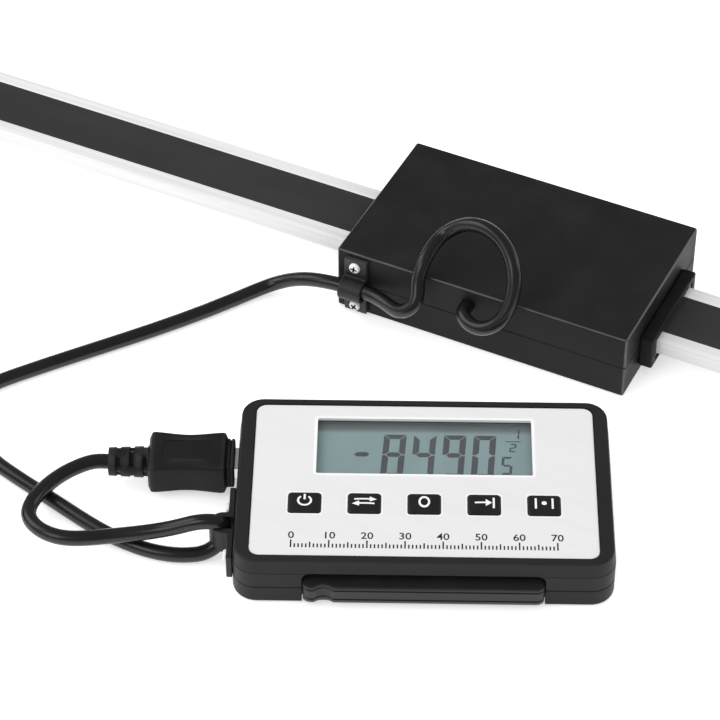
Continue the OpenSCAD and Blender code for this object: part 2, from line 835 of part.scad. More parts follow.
// The slot that the cell cover slides in, with its side grooves
module cover_slot(gap) {
    l = case_w - cover_y0;
    translate([-cover_w / 2 - gap, cover_y0 - gap, -1]) cube([cover_w + 2 * gap, l, cover_t + gap + 1]);
    translate([-cover_w / 2 - tongue_w - gap, cover_y0 - gap, tongue_z - gap])
        cube([cover_w + 2 * tongue_w + 2 * gap, l, tongue_t + 2 * gap]);
}

module socket_hole() {
    translate([side_x - 1, plug_y - socket_w / 2, plug_z - socket_h / 2])
        cube([socket_l + 1, socket_w, socket_h]);
}

module side_screw_holes() {
    for (s = [-1, 1])
        translate([side_x - 1, disp_saddle_y + s * disp_saddle_pitch / 2, disp_saddle_z])
            rotate([0, 90, 0]) cylinder(d = saddle_screw_d, h = saddle_screw_l - disp_saddle_t + 1);
}

module case_back() {
    color(charcoal) in_display() difference() {
        union() {
            difference() {
                intersection() {
                    case_form();
                    slab(case_l, case_w, 0, case_split);
                }
                slab(2 * wall_in_x, 2 * wall_in_y, case_floor, case_split + 1);
            }
            intersection() {
                flap_recess(recess_skin);
                slab(case_l - 2, case_w - 2, case_floor / 2, case_split);
            }
            at_corners(case_screw_x, case_screw_y)
                translate([0, 0, case_floor / 2]) cylinder(d = case_boss_d, h = case_split - case_floor / 2);
            at_corners(post_x, post_y)
                translate([0, 0, case_floor / 2]) cylinder(d = post_d, h = board_z - case_floor / 2);
        }
        flap_recess();
        for (s = [-1, 1]) hinge_line(flap_pin_d, s > 0 ? recess_l / 2 - 1 : -recess_l / 2 - flap_pin_grip,
            flap_pin_grip + 1);
        cover_slot(cover_gap);
        translate([0, cell_y, 0]) cylinder(d = cell_d + 2 * holder_t + 1, h = case_split);
        at_corners(magnet_x / 2, magnet_y / 2) translate([0, 0, -1]) cylinder(d = magnet_d, h = magnet_t + 1);
        at_corners(case_screw_x, case_screw_y) {
            translate([0, 0, -1]) cylinder(d = case_screw_d, h = case_split + 2);
            translate([0, 0, -1]) cylinder(d = case_screw_head, h = case_screw_h + 1.2);
        }
        socket_hole();
    }
}

module case_front() {
    color(charcoal) in_display() difference() {
        union() {
            difference() {
                intersection() {
                    case_form();
                    slab(case_l, case_w, case_split, case_h);
                }
                slab(2 * wall_in_x, 2 * wall_in_y, case_split - 1, deck_under);
                translate([0, 0, deck_top]) linear_extrude(plate_t + plate_sink + 1)
                    round_rect(plate_l + 2 * plate_gap, plate_w + 2 * plate_gap, plate_corner + plate_gap);
            }
            intersection() {
                flap_recess(recess_skin);
                slab(case_l - 2, case_w - 2, case_split, deck_under);
            }
            at_corners(case_screw_x, case_screw_y)
                translate([0, 0, case_split]) cylinder(d = case_boss_d, h = deck_under - case_split + 0.5);
            at_corners(post_x, post_y)
                translate([0, 0, board_top]) cylinder(d = post_d, h = deck_under - board_top + 0.5);
        }
        flap_recess();
        translate([-window_l / 2 - lens_margin, window_y - window_w / 2 - lens_margin, deck_under - 1])
            cube([window_l + 2 * lens_margin, window_w + 2 * lens_margin, deck_t + 2]);
        for (i = [0:key_count - 1]) translate([key_x(i), key_y, deck_under - 1])
            linear_extrude(deck_t + 2) key_plan(key_gap);
        at_corners(case_screw_x, case_screw_y)
            translate([0, 0, case_split - 1]) cylinder(d = case_screw_d, h = case_screw_up + 1);
        side_screw_holes();
        socket_hole();
    }
}

module face_plate() {
    color(silver) in_display() translate([0, 0, deck_top]) linear_extrude(plate_t) difference() {
        round_rect(plate_l, plate_w, plate_corner);
        translate([0, window_y]) square([window_l, window_w], center = true);
        for (i = [0:key_count - 1]) translate([key_x(i), key_y]) key_plan(key_gap);
    }
}

module window_lens() {
    color([0.8, 0.85, 0.85, 0.4]) in_display() translate([0, window_y, 0])
        slab(window_l + 2 * lens_margin, window_w + 2 * lens_margin, deck_under, deck_top);
}

module lcd_panel() {
    color([0.45, 0.55, 0.52]) in_display() translate([0, window_y, 0])
        slab(lcd_l, lcd_w, lcd_z, deck_under);
}

module zebra_strips() {
    color(grey) in_display() for (s = [-1, 1])
        translate([0, window_y + s * (lcd_w / 2 - zebra_w / 2), 0])
            slab(lcd_l - 4, zebra_w, board_top, lcd_z);
}

module display_board() {
    color(green) in_display()
        slab(board_l, board_w, board_z, board_top);
}

// ---------- keys ----------

function key_x(i) = (i - (key_count - 1) / 2) * key_pitch;

// Seen from above: a rounded rectangle with a bowed far edge
module key_plan(grow) {
    l = key_l + 2 * grow;
    w = key_w + 2 * grow;
    bow_r = (l * l / 4 + key_bow * key_bow) / (2 * key_bow);
    intersection() {
        round_rect(l, w, 0.8);
        translate([0, w / 2 - bow_r]) circle(bow_r, $fn = 120);
    }
}

module key(i) {
    color(black) in_display() translate([key_x(i), key_y, 0]) {
        intersection() {
            translate([0, 0, key_foot]) linear_extrude(key_top - key_foot) key_plan(0);
            translate([0, 0, key_top - key_dome]) sphere(key_dome, $fn = 96);
        }
        slab(key_l + 2 * key_flange_w, key_w + 2 * key_flange_w, key_foot, deck_under);
    }
}

module key_1() { key(0); }
module key_2() { key(1); }
module key_3() { key(2); }
module key_4() { key(3); }
module key_5() { key(4); }

module key_switches() {
    top = key_foot - key_travel - 0.02;
    color(grey) in_display() for (i = [0:key_count - 1]) translate([key_x(i), key_y, 0]) {
        slab(switch_w, switch_w, board_top, top - 1);
        translate([0, 0, top - 1 - little]) cylinder(d = switch_w / 2, h = 1 + little);
    }
}

// ---------- cell, cover, magnets, screws ----------

module coin_cell() {
    color(nickel) in_display() translate([0, cell_y, cell_z]) cylinder(d = cell_d, h = cell_t);
}

module cell_holder() {
    color(black) in_display() translate([0, cell_y, 0]) difference() {
        translate([0, 0, cell_z + 0.8]) cylinder(d = cell_d + 2 * holder_t, h = board_z - cell_z - 0.8);
        translate([0, 0, cell_z - 1]) cylinder(d = cell_d, h = cell_t + 1);
    }
}

module cell_cover() {
    color(charcoal) in_display() difference() {
        intersection() {
            case_form();
            cover_slot(0);
        }
        // grip grooves
        for (i = [1:4]) translate([-grip_groove_l / 2, cover_y0 + grip_groove_pitch * (i + 1), -1])
            cube([grip_groove_l, grip_groove_w, grip_groove_t + 1]);
    }
}

module back_magnets() {
    color(nickel) in_display() at_corners(magnet_x / 2, magnet_y / 2) cylinder(d = magnet_d, h = magnet_t);
}

module case_screws() {
    color(nickel) in_display() at_corners(case_screw_x, case_screw_y)
        translate([0, 0, case_screw_h + 0.2]) rotate([180, 0, 0])
            pan_screw(case_screw_d, case_split + case_screw_up - case_screw_h - 0.2,
                case_screw_head, case_screw_h);
}

// ---------- front flap ----------

// Section across the hinge: round behind and below it, flat in front
module flap_section() {
    difference() {
        union() {
            circle(flap_back);
            translate([-flap_front, 0]) square([flap_front + flap_back, flap_top - hinge_z]);
            intersection() {
                circle(flap_front);
                translate([-flap_front, flap_z - hinge_z]) square([flap_front, hinge_z - flap_z]);
            }
        }
        for (z = groove_zs) translate([-flap_front - 1, z - hinge_z - groove_w / 2])
            square([groove_depth + 1, groove_w]);
    }
}

module front_flap() {
    front = hinge_y - flap_front;
    color(charcoal) in_display() difference() {
        intersection() {
            along_x(-flap_l / 2, flap_l) translate([hinge_y, hinge_z]) flap_section();
            linear_extrude(case_h) union() {
                translate([-flap_l / 2, hinge_y - 1]) square([flap_l, flap_back + 2]);
                translate([0, front + flap_l / 4]) round_rect(flap_l, flap_l / 2, flap_corner);
            }
        }
        translate([-flap_l / 2 + notch_in, front + notch_depth - notch_r, -1])
            cylinder(r = notch_r, h = case_h);
        for (s = [-1, 1]) hinge_line(flap_pin_d + 2 * flap_pin_clear,
            s > 0 ? flap_l / 2 - flap_pin_grip - 0.2 : -flap_l / 2 - 1, flap_pin_grip + 1.2);
    }
}

module flap_pins() {
    l = 2 * flap_pin_grip + flap_gap;
    color(nickel) in_display() for (s = [-1, 1])
        hinge_line(flap_pin_d, s > 0 ? flap_l / 2 - flap_pin_grip : -flap_l / 2 - l + flap_pin_grip, l);
}

// ---------- saddle, socket, plug ----------

module on_left_side() {
    translate([side_x, disp_saddle_y, disp_saddle_z]) rotate([0, -90, 0]) children();
}

module disp_saddle() {
    color(black) in_display() on_left_side() rotate(90)
        saddle(disp_saddle_l, disp_saddle_w, disp_saddle_pitch, disp_saddle_t, disp_bow_t,
            disp_saddle_reach, saddle_screw_d);
}

module disp_saddle_screws() {
    color(nickel) in_display() on_left_side()
        for (s = [-1, 1]) translate([0, s * disp_saddle_pitch / 2, disp_saddle_t])
            pan_screw(saddle_screw_d, saddle_screw_l, saddle_screw_head, saddle_screw_h);
}

module data_socket() {
    color(black) in_display() difference() {
        translate([side_x, plug_y - socket_w / 2, plug_z - socket_h / 2])
            cube([socket_l, socket_w, socket_h]);
        translate([side_x - 1, plug_y - shell_w / 2, plug_z - shell_h / 2])
            cube([shell_in + 1, shell_w, shell_h]);
    }
}

module plug_shell() {
    color(nickel) in_display() translate([nose_x + nose_l, plug_y, plug_z]) difference() {
        translate([0, -shell_w / 2, -shell_h / 2]) cube([nose_gap + shell_in, shell_w, shell_h]);
        translate([shell_t, -shell_w / 2 + shell_t, -shell_h / 2 + shell_t])
            cube([nose_gap + shell_in, shell_w - 2 * shell_t, shell_h - 2 * shell_t]);
    }
}

module plug_grip() {
    waist_r = (grip_l * grip_l / 8 + grip_waist * grip_waist / 2) / grip_waist;
    color(black) in_display() translate([0, plug_y, plug_z]) {
        translate([grip_x + grip_l / 2, 0, 0]) difference() {
            translate([0, 0, -grip_h / 2]) soft_block(grip_l, grip_w, grip_h, grip_edge);
            for (s = [-1, 1]) translate([0, s * (grip_w / 2 - grip_waist + waist_r), -grip_h])
                cylinder(r = waist_r, h = 2 * grip_h, $fn = 180);
        }
        translate([nose_x - 1, -nose_w / 2, -nose_h / 2]) cube([nose_l + 1, nose_w, nose_h]);
    }
}

module strain_relief() {
    step = relief_l / relief_slots;
    color(black) in_display() translate([relief_x, plug_y, plug_z]) rotate([0, 90, 0]) difference() {
        cylinder(d1 = relief_d, d2 = relief_root_d, h = relief_l);
        for (i = [0:relief_slots - 1])
            translate([0, 0, step * (i + 1) - slot_w - 0.3]) rotate(90 * i) difference() {
                cylinder(d = relief_root_d + 2, h = slot_w);
                translate([0, 0, -1]) cylinder(d = relief_core, h = slot_w + 2);
                translate([-relief_root_d, -web_w / 2, -1]) cube([2 * relief_root_d, web_w, slot_w + 2]);
            }
    }
}

head_lower();
head_upper();
wiper_left();
wiper_right();
lip_left();
lip_right();
rail_front();
rail_rear();
reader_board();
reader_chip();
head_inserts();
head_screws();
cable_grommet();
head_saddle();
head_saddle_screws();
beam();
scale_strip();
case_back();
case_front();
face_plate();
window_lens();
lcd_panel();
zebra_strips();
display_board();
key_switches();
key_1();
key_2();
key_3();
key_4();
key_5();
coin_cell();
cell_holder();
cell_cover();
back_magnets();
case_screws();
front_flap();
flap_pins();
disp_saddle();
disp_saddle_screws();
data_socket();
plug_shell();
plug_grip();
strain_relief();
cord_head_side();
cord_coil();
coil_tie();
cord_display_side();
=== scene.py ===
import math

import bmesh
import bpy
import numpy as np
from mathutils import Matrix, Vector


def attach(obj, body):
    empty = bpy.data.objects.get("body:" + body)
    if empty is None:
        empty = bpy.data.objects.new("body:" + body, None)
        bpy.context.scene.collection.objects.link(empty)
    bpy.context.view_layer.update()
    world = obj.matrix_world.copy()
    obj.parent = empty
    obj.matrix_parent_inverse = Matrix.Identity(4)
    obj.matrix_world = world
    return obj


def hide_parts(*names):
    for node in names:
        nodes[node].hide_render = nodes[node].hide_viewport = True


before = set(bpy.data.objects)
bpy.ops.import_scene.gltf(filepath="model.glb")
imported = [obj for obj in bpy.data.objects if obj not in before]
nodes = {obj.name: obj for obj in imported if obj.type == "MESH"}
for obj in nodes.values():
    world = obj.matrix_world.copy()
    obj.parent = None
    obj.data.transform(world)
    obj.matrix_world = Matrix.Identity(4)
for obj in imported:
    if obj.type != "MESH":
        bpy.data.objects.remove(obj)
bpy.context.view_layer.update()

# ---- Camera ----
# A long lens, high up in front and to the right. It takes in the head and the display, and the
# beam runs out of view on both sides.
CAMERA_AT = Vector((0.24503, -0.60587, 0.58511))
LOOK_AT = Vector((-0.0285, -0.0458, 0.0))
camera = bpy.data.objects.new("camera", bpy.data.cameras.new("camera"))
camera.data.lens = 149.09
camera.data.sensor_width = 36.0
camera.data.clip_start = 0.02
camera.location = CAMERA_AT
camera.rotation_euler = (LOOK_AT - CAMERA_AT).to_track_quat("-Z", "Y").to_euler()
bpy.context.scene.collection.objects.link(camera)
bpy.context.scene.camera = camera
bpy.context.scene.view_settings.view_transform = "Standard"

# ---- Floor, sky and lights ----
# A white sheet of paper just under the object, an even pale sky, dimmer in gloss, and three soft
# boxes. The paper glows a little for the eye and for shiny things, so it comes out white but
# keeps the object's soft shadow.
FLOOR_Z = -0.00012
PAPER_WHITE = 0.93
PAPER_GLOW = 0.5
SKY_FOR_EYE = 0.86
SKY_FOR_GLOSS = 0.26
SOFT_BOXES = (("box_left", (-1.3, -0.3, 1.0), 1.0, 7.0),
              ("box_right", (1.1, 0.9, 0.6), 0.7, 2.4),
              ("box_front", (-0.5, -1.1, 1.0), 0.7, 4.0))

floor_mesh = bpy.data.meshes.new("floor")
floor_bm = bmesh.new()
bmesh.ops.create_grid(floor_bm, x_segments=1, y_segments=1, size=4.0,
                      matrix=Matrix.Translation((0.0, 0.0, FLOOR_Z)))
floor_bm.to_mesh(floor_mesh)
floor_bm.free()
floor = bpy.data.objects.new("floor", floor_mesh)
bpy.context.scene.collection.objects.link(floor)

paper = bpy.data.materials.new("paper")
paper.use_nodes = True
make, link = paper.node_tree.nodes.new, paper.node_tree.links.new
sheet = paper.node_tree.nodes["Principled BSDF"]
sheet.inputs["Base Color"].default_value = (PAPER_WHITE, PAPER_WHITE, PAPER_WHITE, 1)
sheet.inputs["Roughness"].default_value = 0.9
sheet.inputs["Specular IOR Level"].default_value = 0.0
glow = make("ShaderNodeEmission")
glow.inputs["Strength"].default_value = PAPER_GLOW
glowing = make("ShaderNodeAddShader")
paper_path = make("ShaderNodeLightPath")
seen_by = make("ShaderNodeMath")
seen_by.operation = "MAXIMUM"
paper_mix = make("ShaderNodeMixShader")
link(sheet.outputs[0], glowing.inputs[0])
link(glow.outputs[0], glowing.inputs[1])
link(paper_path.outputs["Is Camera Ray"], seen_by.inputs[0])
link(paper_path.outputs["Is Glossy Ray"], seen_by.inputs[1])
link(seen_by.outputs[0], paper_mix.inputs[0])
link(sheet.outputs[0], paper_mix.inputs[1])
link(glowing.outputs[0], paper_mix.inputs[2])
link(paper_mix.outputs[0], paper.node_tree.nodes["Material Output"].inputs["Surface"])
floor_mesh.materials.append(paper)

sky = bpy.data.worlds.new("sky")
bpy.context.scene.world = sky
sky.use_nodes = True
make, link = sky.node_tree.nodes.new, sky.node_tree.links.new
for_eye = sky.node_tree.nodes["Background"]
for_gloss = make("ShaderNodeBackground")
for background, strength in ((for_eye, SKY_FOR_EYE), (for_gloss, SKY_FOR_GLOSS)):
    background.inputs["Color"].default_value = (1, 1, 1, 1)
    background.inputs["Strength"].default_value = strength
sky_path = make("ShaderNodeLightPath")
sky_mix = make("ShaderNodeMixShader")
link(sky_path.outputs["Is Glossy Ray"], sky_mix.inputs[0])
link(for_eye.outputs[0], sky_mix.inputs[1])
link(for_gloss.outputs[0], sky_mix.inputs[2])
link(sky_mix.outputs[0], sky.node_tree.nodes["World Output"].inputs["Surface"])

for name, place, size, power in SOFT_BOXES:
    box = bpy.data.lights.new(name, "AREA")
    box.shape = "SQUARE"
    box.size = size
    box.energy = power
    lamp = bpy.data.objects.new(name, box)
    lamp.location = place
    lamp.rotation_euler = (-Vector(place)).to_track_quat("-Z", "Y").to_euler()
    bpy.context.scene.collection.objects.link(lamp)

# ---- Cable ----
# Round PVC cable, 4.2 mm thick and 1.5 m long. From the head's grommet it stands up in a loop,
# passes the head's saddle, lies in a tied coil, turns back through the display's saddle and ends
# in the plug. The routes are in millimetres.
MM = 0.001
CABLE_D = 4.2
HEAD_ROUTE = [(-3.5, -27, 16), (-3.5, -30.2, 16), (1.6, -34.2, 15.6), (8.7, -33.6, 19.5),
              (10.8, -29.2, 26), (8.3, -23.8, 33.1), (1.9, -18.8, 36.5), (-8.8, -15.8, 35.4),
              (-16.3, -17.6, 29.7), (-17.8, -26.2, 26.1), (-17.6, -30.8, 20.6), (-16.8, -33.6, 17.5),
              (-19.5, -35.4, 14.2), (-26.7, -32.6, 11.9), (-35, -30.2, 11.2), (-42, -30.2, 11),
              (-54, -30.5, 8.9), (-64, -31.3, 3.6), (-72, -41, 2.1), (-112, -95.6, 2.1),
              (-119.8, -110.6, 2.1), (-118, -126, 2.6)]
DISPLAY_ROUTE = [(-128.5, -116.6, 10.6), (-113.5, -123.3, 7.2), (-98, -129.5, 2.3),
                 (-79.4, -134.2, 2.1), (-48.8, -139.6, 2.1), (-33.5, -135.2, 2.2),
                 (-29.1, -130.9, 4.4), (-28.1, -129.3, 8.2), (-28.6, -130.1, 11.4),
                 (-32.7, -132.1, 12.2), (-38.5, -134.4, 10), (-56.6, -143.7, 6.4), (-70, -149.2, 6.2),
                 (-79.2, -145.1, 6), (-80.3, -135.8, 6.4), (-75.4, -123.9, 7), (-72, -120.8, 7.4),
                 (-68.9, -119.3, 7.4)]
INSIDE_RELIEF = (-63.5, -116.8, 7.4)
OUT_OF_HEAD = (0.0, -1.0, 0.0)
INTO_PLUG = (0.906, 0.423, 0.0)
LYING = 2.35  # a knot below this height lies flat on the floor
COIL_AT = (-142.0, -140.0)
COIL_START = 25.0  # where the coil's first turn begins, in degrees
FIRST_KNOT, LAST_KNOT, KNOT_STEP = 22.0, 2450.0, 25.7
STEP_OVER = 70.0  # the last part of each turn moves on to the next
OUTER, MIDDLE, INNER = 26.7, 22.5, 18.3  # the radii of the turns, one cable apart
LOWER, UPPER = 2.6, 6.8  # their heights
TURNS = [(OUTER, LOWER), (MIDDLE, LOWER), (INNER, LOWER), (INNER, UPPER), (MIDDLE, UPPER),
         (OUTER, UPPER), (26.0, 10.9), (OUTER, 10.6)]


def surface(name, colour, rough, metal=0.0, spec=0.5, grain=3200.0, relief=0.00003, tone=0.12,
            cloud=60.0, stretch=(1.0, 1.0, 1.0), edge=None):
    """A moulded or drawn surface: grain in relief, slow clouds in tone and gloss, and a painted highlight
    in the edge colour on sharp edges.
    """
    low, high = 0.3, 0.7
    material = bpy.data.materials.new(name)
    material.use_nodes = True
    make, link = material.node_tree.nodes.new, material.node_tree.links.new
    shader = material.node_tree.nodes["Principled BSDF"]
    shader.inputs["Metallic"].default_value = metal
    shader.inputs["Specular IOR Level"].default_value = spec
    where = make("ShaderNodeTexCoord")
    drawn = make("ShaderNodeMapping")
    drawn.inputs["Scale"].default_value = stretch
    link(where.outputs["Object"], drawn.inputs["Vector"])
    noises = []
    for scale, detail in ((cloud, 5.0), (grain, 2.0)):
        noise = make("ShaderNodeTexNoise")
        noise.inputs["Scale"].default_value = scale
        noise.inputs["Detail"].default_value = detail
        link(drawn.outputs["Vector"], noise.inputs["Vector"])
        noises.append(noise.outputs["Fac"])
    clouds, fine = noises
    tones = make("ShaderNodeValToRGB")
    for stop, place, change in zip(tones.color_ramp.elements, (low, high), (1 - tone, 1 + tone)):
        stop.position = place
        stop.color = (*[min(1.0, c * change) for c in colour], 1)
    link(clouds, tones.inputs["Fac"])
    last = tones.outputs["Color"]
    # Painted highlight: where the mesh is sharp and convex, the edge colour is mixed into the base colour.
    if edge:
        edge_sharpness = make("ShaderNodeNewGeometry")
        ridge = make("ShaderNodeValToRGB")
        ridge.color_ramp.elements[0].position = 0.52
        ridge.color_ramp.elements[1].position = 0.62
        link(edge_sharpness.outputs["Pointiness"], ridge.inputs["Fac"])
        highlight_mix = make("ShaderNodeMix")
        highlight_mix.data_type = "RGBA"
        link(ridge.outputs["Color"], highlight_mix.inputs[0])
        link(last, highlight_mix.inputs[6])
        highlight_mix.inputs[7].default_value = (*edge, 1)
        last = highlight_mix.outputs[2]
    link(last, shader.inputs["Base Color"])
    gloss = make("ShaderNodeMapRange")
    gloss.inputs["From Min"].default_value = low
    gloss.inputs["From Max"].default_value = high
    gloss.inputs["To Min"].default_value = rough * 0.85
    gloss.inputs["To Max"].default_value = min(1.0, rough * 1.15)
    link(clouds, gloss.inputs["Value"])
    link(gloss.outputs["Result"], shader.inputs["Roughness"])
    bump = make("ShaderNodeBump")
    bump.inputs["Strength"].default_value = 0.6
    bump.inputs["Distance"].default_value = relief
    link(fine, bump.inputs["Height"])
    link(bump.outputs["Normal"], shader.inputs["Normal"])
    return material


cable_jacket = surface("cable_jacket", (0.0085, 0.0085, 0.009), 0.27, spec=0.46, grain=1500.0,
                       relief=0.00002, cloud=140.0, tone=0.2)
coil_turns = []
sweep = FIRST_KNOT
while sweep < LAST_KNOT:
    turn, past = divmod(sweep, 360.0)
    step = max(0.0, (past - (360.0 - STEP_OVER)) / STEP_OVER)
    ease = step * step * (3 - 2 * step)
    (r0, z0), (r1, z1) = TURNS[int(turn)], TURNS[int(turn) + 1]
    angle = math.radians(COIL_START - sweep)
    radius = r0 + (r1 - r0) * ease
    coil_turns.append((COIL_AT[0] + radius * math.cos(angle), COIL_AT[1] + radius * math.sin(angle),
                       z0 + (z1 - z0) * ease))
    sweep += KNOT_STEP

# The curve goes through every knot and bends evenly from one to the next, which takes one set of
# equations for its slopes.
knots = np.array(HEAD_ROUTE + coil_turns + DISPLAY_ROUTE + [INSIDE_RELIEF]) * MM
gaps = np.linalg.norm(np.diff(knots, axis=0), axis=1)
bends = np.zeros((len(knots), len(knots)))
pulls = np.zeros((len(knots), 3))
bends[0, 0] = bends[-1, -1] = 1.0
pulls[0], pulls[-1] = OUT_OF_HEAD, INTO_PLUG
for i in range(1, len(knots) - 1):
    bends[i, i - 1:i + 2] = gaps[i], 2 * (gaps[i - 1] + gaps[i]), gaps[i - 1]
    pulls[i] = 3 * (gaps[i] * (knots[i] - knots[i - 1]) / gaps[i - 1]
                    + gaps[i - 1] * (knots[i + 1] - knots[i]) / gaps[i])
slopes = np.linalg.solve(bends, pulls)
slopes[knots[:, 2] < LYING * MM, 2] = 0.0
reach = np.concatenate(([gaps[0]], gaps, [gaps[-1]])) / 3

cord_curve = bpy.data.curves.new("cable", "CURVE")
cord_curve.dimensions = "3D"
cord_curve.bevel_depth = CABLE_D / 2 * MM
cord_curve.bevel_resolution = 5
cord_curve.resolution_u = 8
cord_curve.use_fill_caps = True
cord_spline = cord_curve.splines.new("BEZIER")
cord_spline.bezier_points.add(len(knots) - 1)
for i, knot in enumerate(cord_spline.bezier_points):
    knot.handle_left_type = knot.handle_right_type = "FREE"
    knot.co = knots[i]
    knot.handle_left = knots[i] - slopes[i] * reach[i]
    knot.handle_right = knots[i] + slopes[i] * reach[i + 1]
cord = bpy.data.objects.new("cable", cord_curve)
bpy.context.scene.collection.objects.link(cord)
cord_curve.materials.append(cable_jacket)
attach(cord, "scale_set")
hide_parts("cord_head_side", "cord_coil", "cord_display_side")

# ---- Coil tie ----
# A woven hook-and-loop strap, 8 mm wide, wound once and a quarter round the bundle of turns.
# Its free end lies on the first turn of the strap.
STRAP_HALF_W = 4.0
STRAP_HALF_T = 0.25
STRAP_CHAMFER = 0.2
STRAP_TURNS = 1.22
STRAP_AT = 204.0  # its place round the coil, in degrees
BUNDLE = 13.3  # each side of the bundle with the strap on it
BUNDLE_Z = 6.8
STRAP_FOOT = 0.05  # the strap's lowest height above the floor


def solid(bm, name, material, body="scale_set", place=None, crease=32.0, printed=False):
    """Makes a finished piece of a mesh in millimetres: placed, in metres, smooth but for creases.

    A printed piece is flat ink, all of it facing up.
    """
    mesh = bpy.data.meshes.new(name)
    bm.normal_update()
    bmesh.ops.recalc_face_normals(bm, faces=bm.faces)
    if printed:
        bmesh.ops.reverse_faces(bm, faces=[face for face in bm.faces if face.normal.z < 0])
    bm.to_mesh(mesh)
    bm.free()
    if place is not None:
        mesh.transform(place)
    mesh.transform(Matrix.Scale(MM, 4))
    mesh.shade_smooth()
    mesh.set_sharp_from_angle(angle=math.radians(crease))
    mesh.materials.append(material)
    piece = bpy.data.objects.new(name, mesh)
    bpy.context.scene.collection.objects.link(piece)
    if not printed:
        weight = piece.modifiers.new("weight", "WEIGHTED_NORMAL")
        weight.keep_sharp = True
    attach(piece, body)
    return piece


def hoop(bm, ring):
    """A closed hoop of edges through a ring of points."""
    points = [bm.verts.new(p) for p in ring]
    return [bm.edges.new(pair) for pair in zip(points, points[1:] + points[:1])]


def loft(rings):
    """A skin through rings of points, capped at both ends."""
    bm = bmesh.new()
    loops = [hoop(bm, ring) for ring in rings]
    for near, far in zip(loops, loops[1:]):
        bmesh.ops.bridge_loops(bm, edges=near + far)
    for end in (loops[0], loops[-1]):
        bmesh.ops.edgeloop_fill(bm, edges=end)
    bmesh.ops.recalc_face_normals(bm, faces=bm.faces)
    return bm


def outline(l, w, r, n=6, x=0.0, y=0.0):
    """Rounded rectangle, counter-clockwise from its right far corner."""
    r = max(r, 0.03)
    return [(x + sx * (l / 2 - r) + r * math.cos(a), y + sy * (w / 2 - r) + r * math.sin(a))
            for q, (sx, sy) in enumerate(((1, 1), (-1, 1), (-1, -1), (1, -1)))
            for a in [math.radians(90 * q + 90 * k / n) for k in range(n + 1)]]


strap = surface("strap", (0.03, 0.03, 0.032), 0.9, spec=0.2, grain=2200.0, relief=0.0002, tone=0.3,
                cloud=900.0)
across = [(sx * (STRAP_HALF_W - inset), sy * STRAP_HALF_T)
          for sx, sy, inset in ((-1, 0, 0.0), (-1, 1, STRAP_CHAMFER), (1, 1, STRAP_CHAMFER),
                                (1, 0, 0.0), (1, -1, STRAP_CHAMFER), (-1, -1, STRAP_CHAMFER))]
around = outline(BUNDLE, BUNDLE, 2.5, n=8)
rings = []
for i in range(int(len(around) * STRAP_TURNS)):
    u, v = around[i % len(around)]
    lift = 1.0 + 0.055 * max(0.0, min(1.0, (i - len(around) + 3) / 4.0))
    ring = []
    for side, out in across:
        grow = lift + out / (BUNDLE / 2 + STRAP_HALF_T)
        slant = 0.5 * (i / len(around) - 0.5)
        turned = math.radians(STRAP_AT) + (side + slant) / MIDDLE
        radius = MIDDLE + u * grow
        ring.append((COIL_AT[0] + radius * math.cos(turned), COIL_AT[1] + radius * math.sin(turned),
                     max(STRAP_FOOT, BUNDLE_Z + v * grow)))
    rings.append(ring)
tie = solid(loft(rings), "coil_strap", strap)
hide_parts("coil_tie")

# ---- Reading head ----
# Two moulded halves in black ABS with a fine grain, sharp corners and a thin line where they
# meet. The beam runs through both end walls. The base takes four brass inserts and the four
# screws that hold the halves together.
HEAD_L, HEAD_W, HEAD_H = 90.0, 54.0, 21.5
HEAD_SPLIT = 10.75
HEAD_WALL = 2.2
HEAD_R = 0.8  # rounding of the upright corners and the foot
HEAD_TOP_R = 0.7
HEAD_LINE = (0.24, 0.23)  # depth and half height of the line at the split
BEAM_Z = 9.0  # height of the beam's middle
PASSAGE_W, PASSAGE_H = 27.0, 6.6
WIPER_W, WIPER_H = 33.0, 10.8
WIPER_IN = 1.6  # how deep the left wiper's pocket is
FIT = 0.1
OUTLET_X, OUTLET_Z, OUTLET_D = -3.5, 16.0, 6.6
HEAD_STRAP_X, HEAD_STRAP_Z, HEAD_STRAP_REACH = -38.5, 10.5, 7.2
RAIL_L, RAIL_HALF, RAIL_Z = 78.0, 15.75, 5.05
INSERT_AT, INSERT_D, INSERT_L = (30.0, 21.0), 5.6, 6.0
HEAD_SCREW_AT, HEAD_SCREW_D, HEAD_SCREW_DEEP = (40.2, 22.2), 4.4, 2.4
STRAP_SCREW_D = 2.0
CORNERS = ((-1, -1), (1, -1), (-1, 1), (1, 1))


def block(x0, x1, y0, y1, z0, z1, soft=0.0, steps=3):
    """A box between six planes, its edges rounded if soft."""
    bm = bmesh.new()
    size = Matrix.Diagonal((x1 - x0, y1 - y0, z1 - z0, 1.0))
    middle = Matrix.Translation(((x0 + x1) / 2, (y0 + y1) / 2, (z0 + z1) / 2))
    bmesh.ops.create_cube(bm, size=1.0, matrix=middle @ size)
    if soft:
        bmesh.ops.bevel(bm, geom=bm.edges[:], offset=soft, segments=steps, affect="EDGES",
                        profile=0.5, material=-1)
    return bm


def rod(d, a, b, d2=None, n=32):
    """A round bar from point a to point b, tapered if its far end has another diameter."""
    bm = bmesh.new()
    a, b = Vector(a), Vector(b)
    aim = (b - a).to_track_quat("Z", "Y").to_matrix().to_4x4()
    bmesh.ops.create_cone(bm, cap_ends=True, segments=n, radius1=d / 2,
                          radius2=(d if d2 is None else d2) / 2, depth=(b - a).length,
                          matrix=Matrix.Translation((a + b) / 2) @ aim)
    return bm


def drills(d, at, z0, z1):
    """Four upright rods, one in each corner of a pattern."""
    return [rod(d, (at[0] * x, at[1] * y, z0), (at[0] * x, at[1] * y, z1)) for x, y in CORNERS]


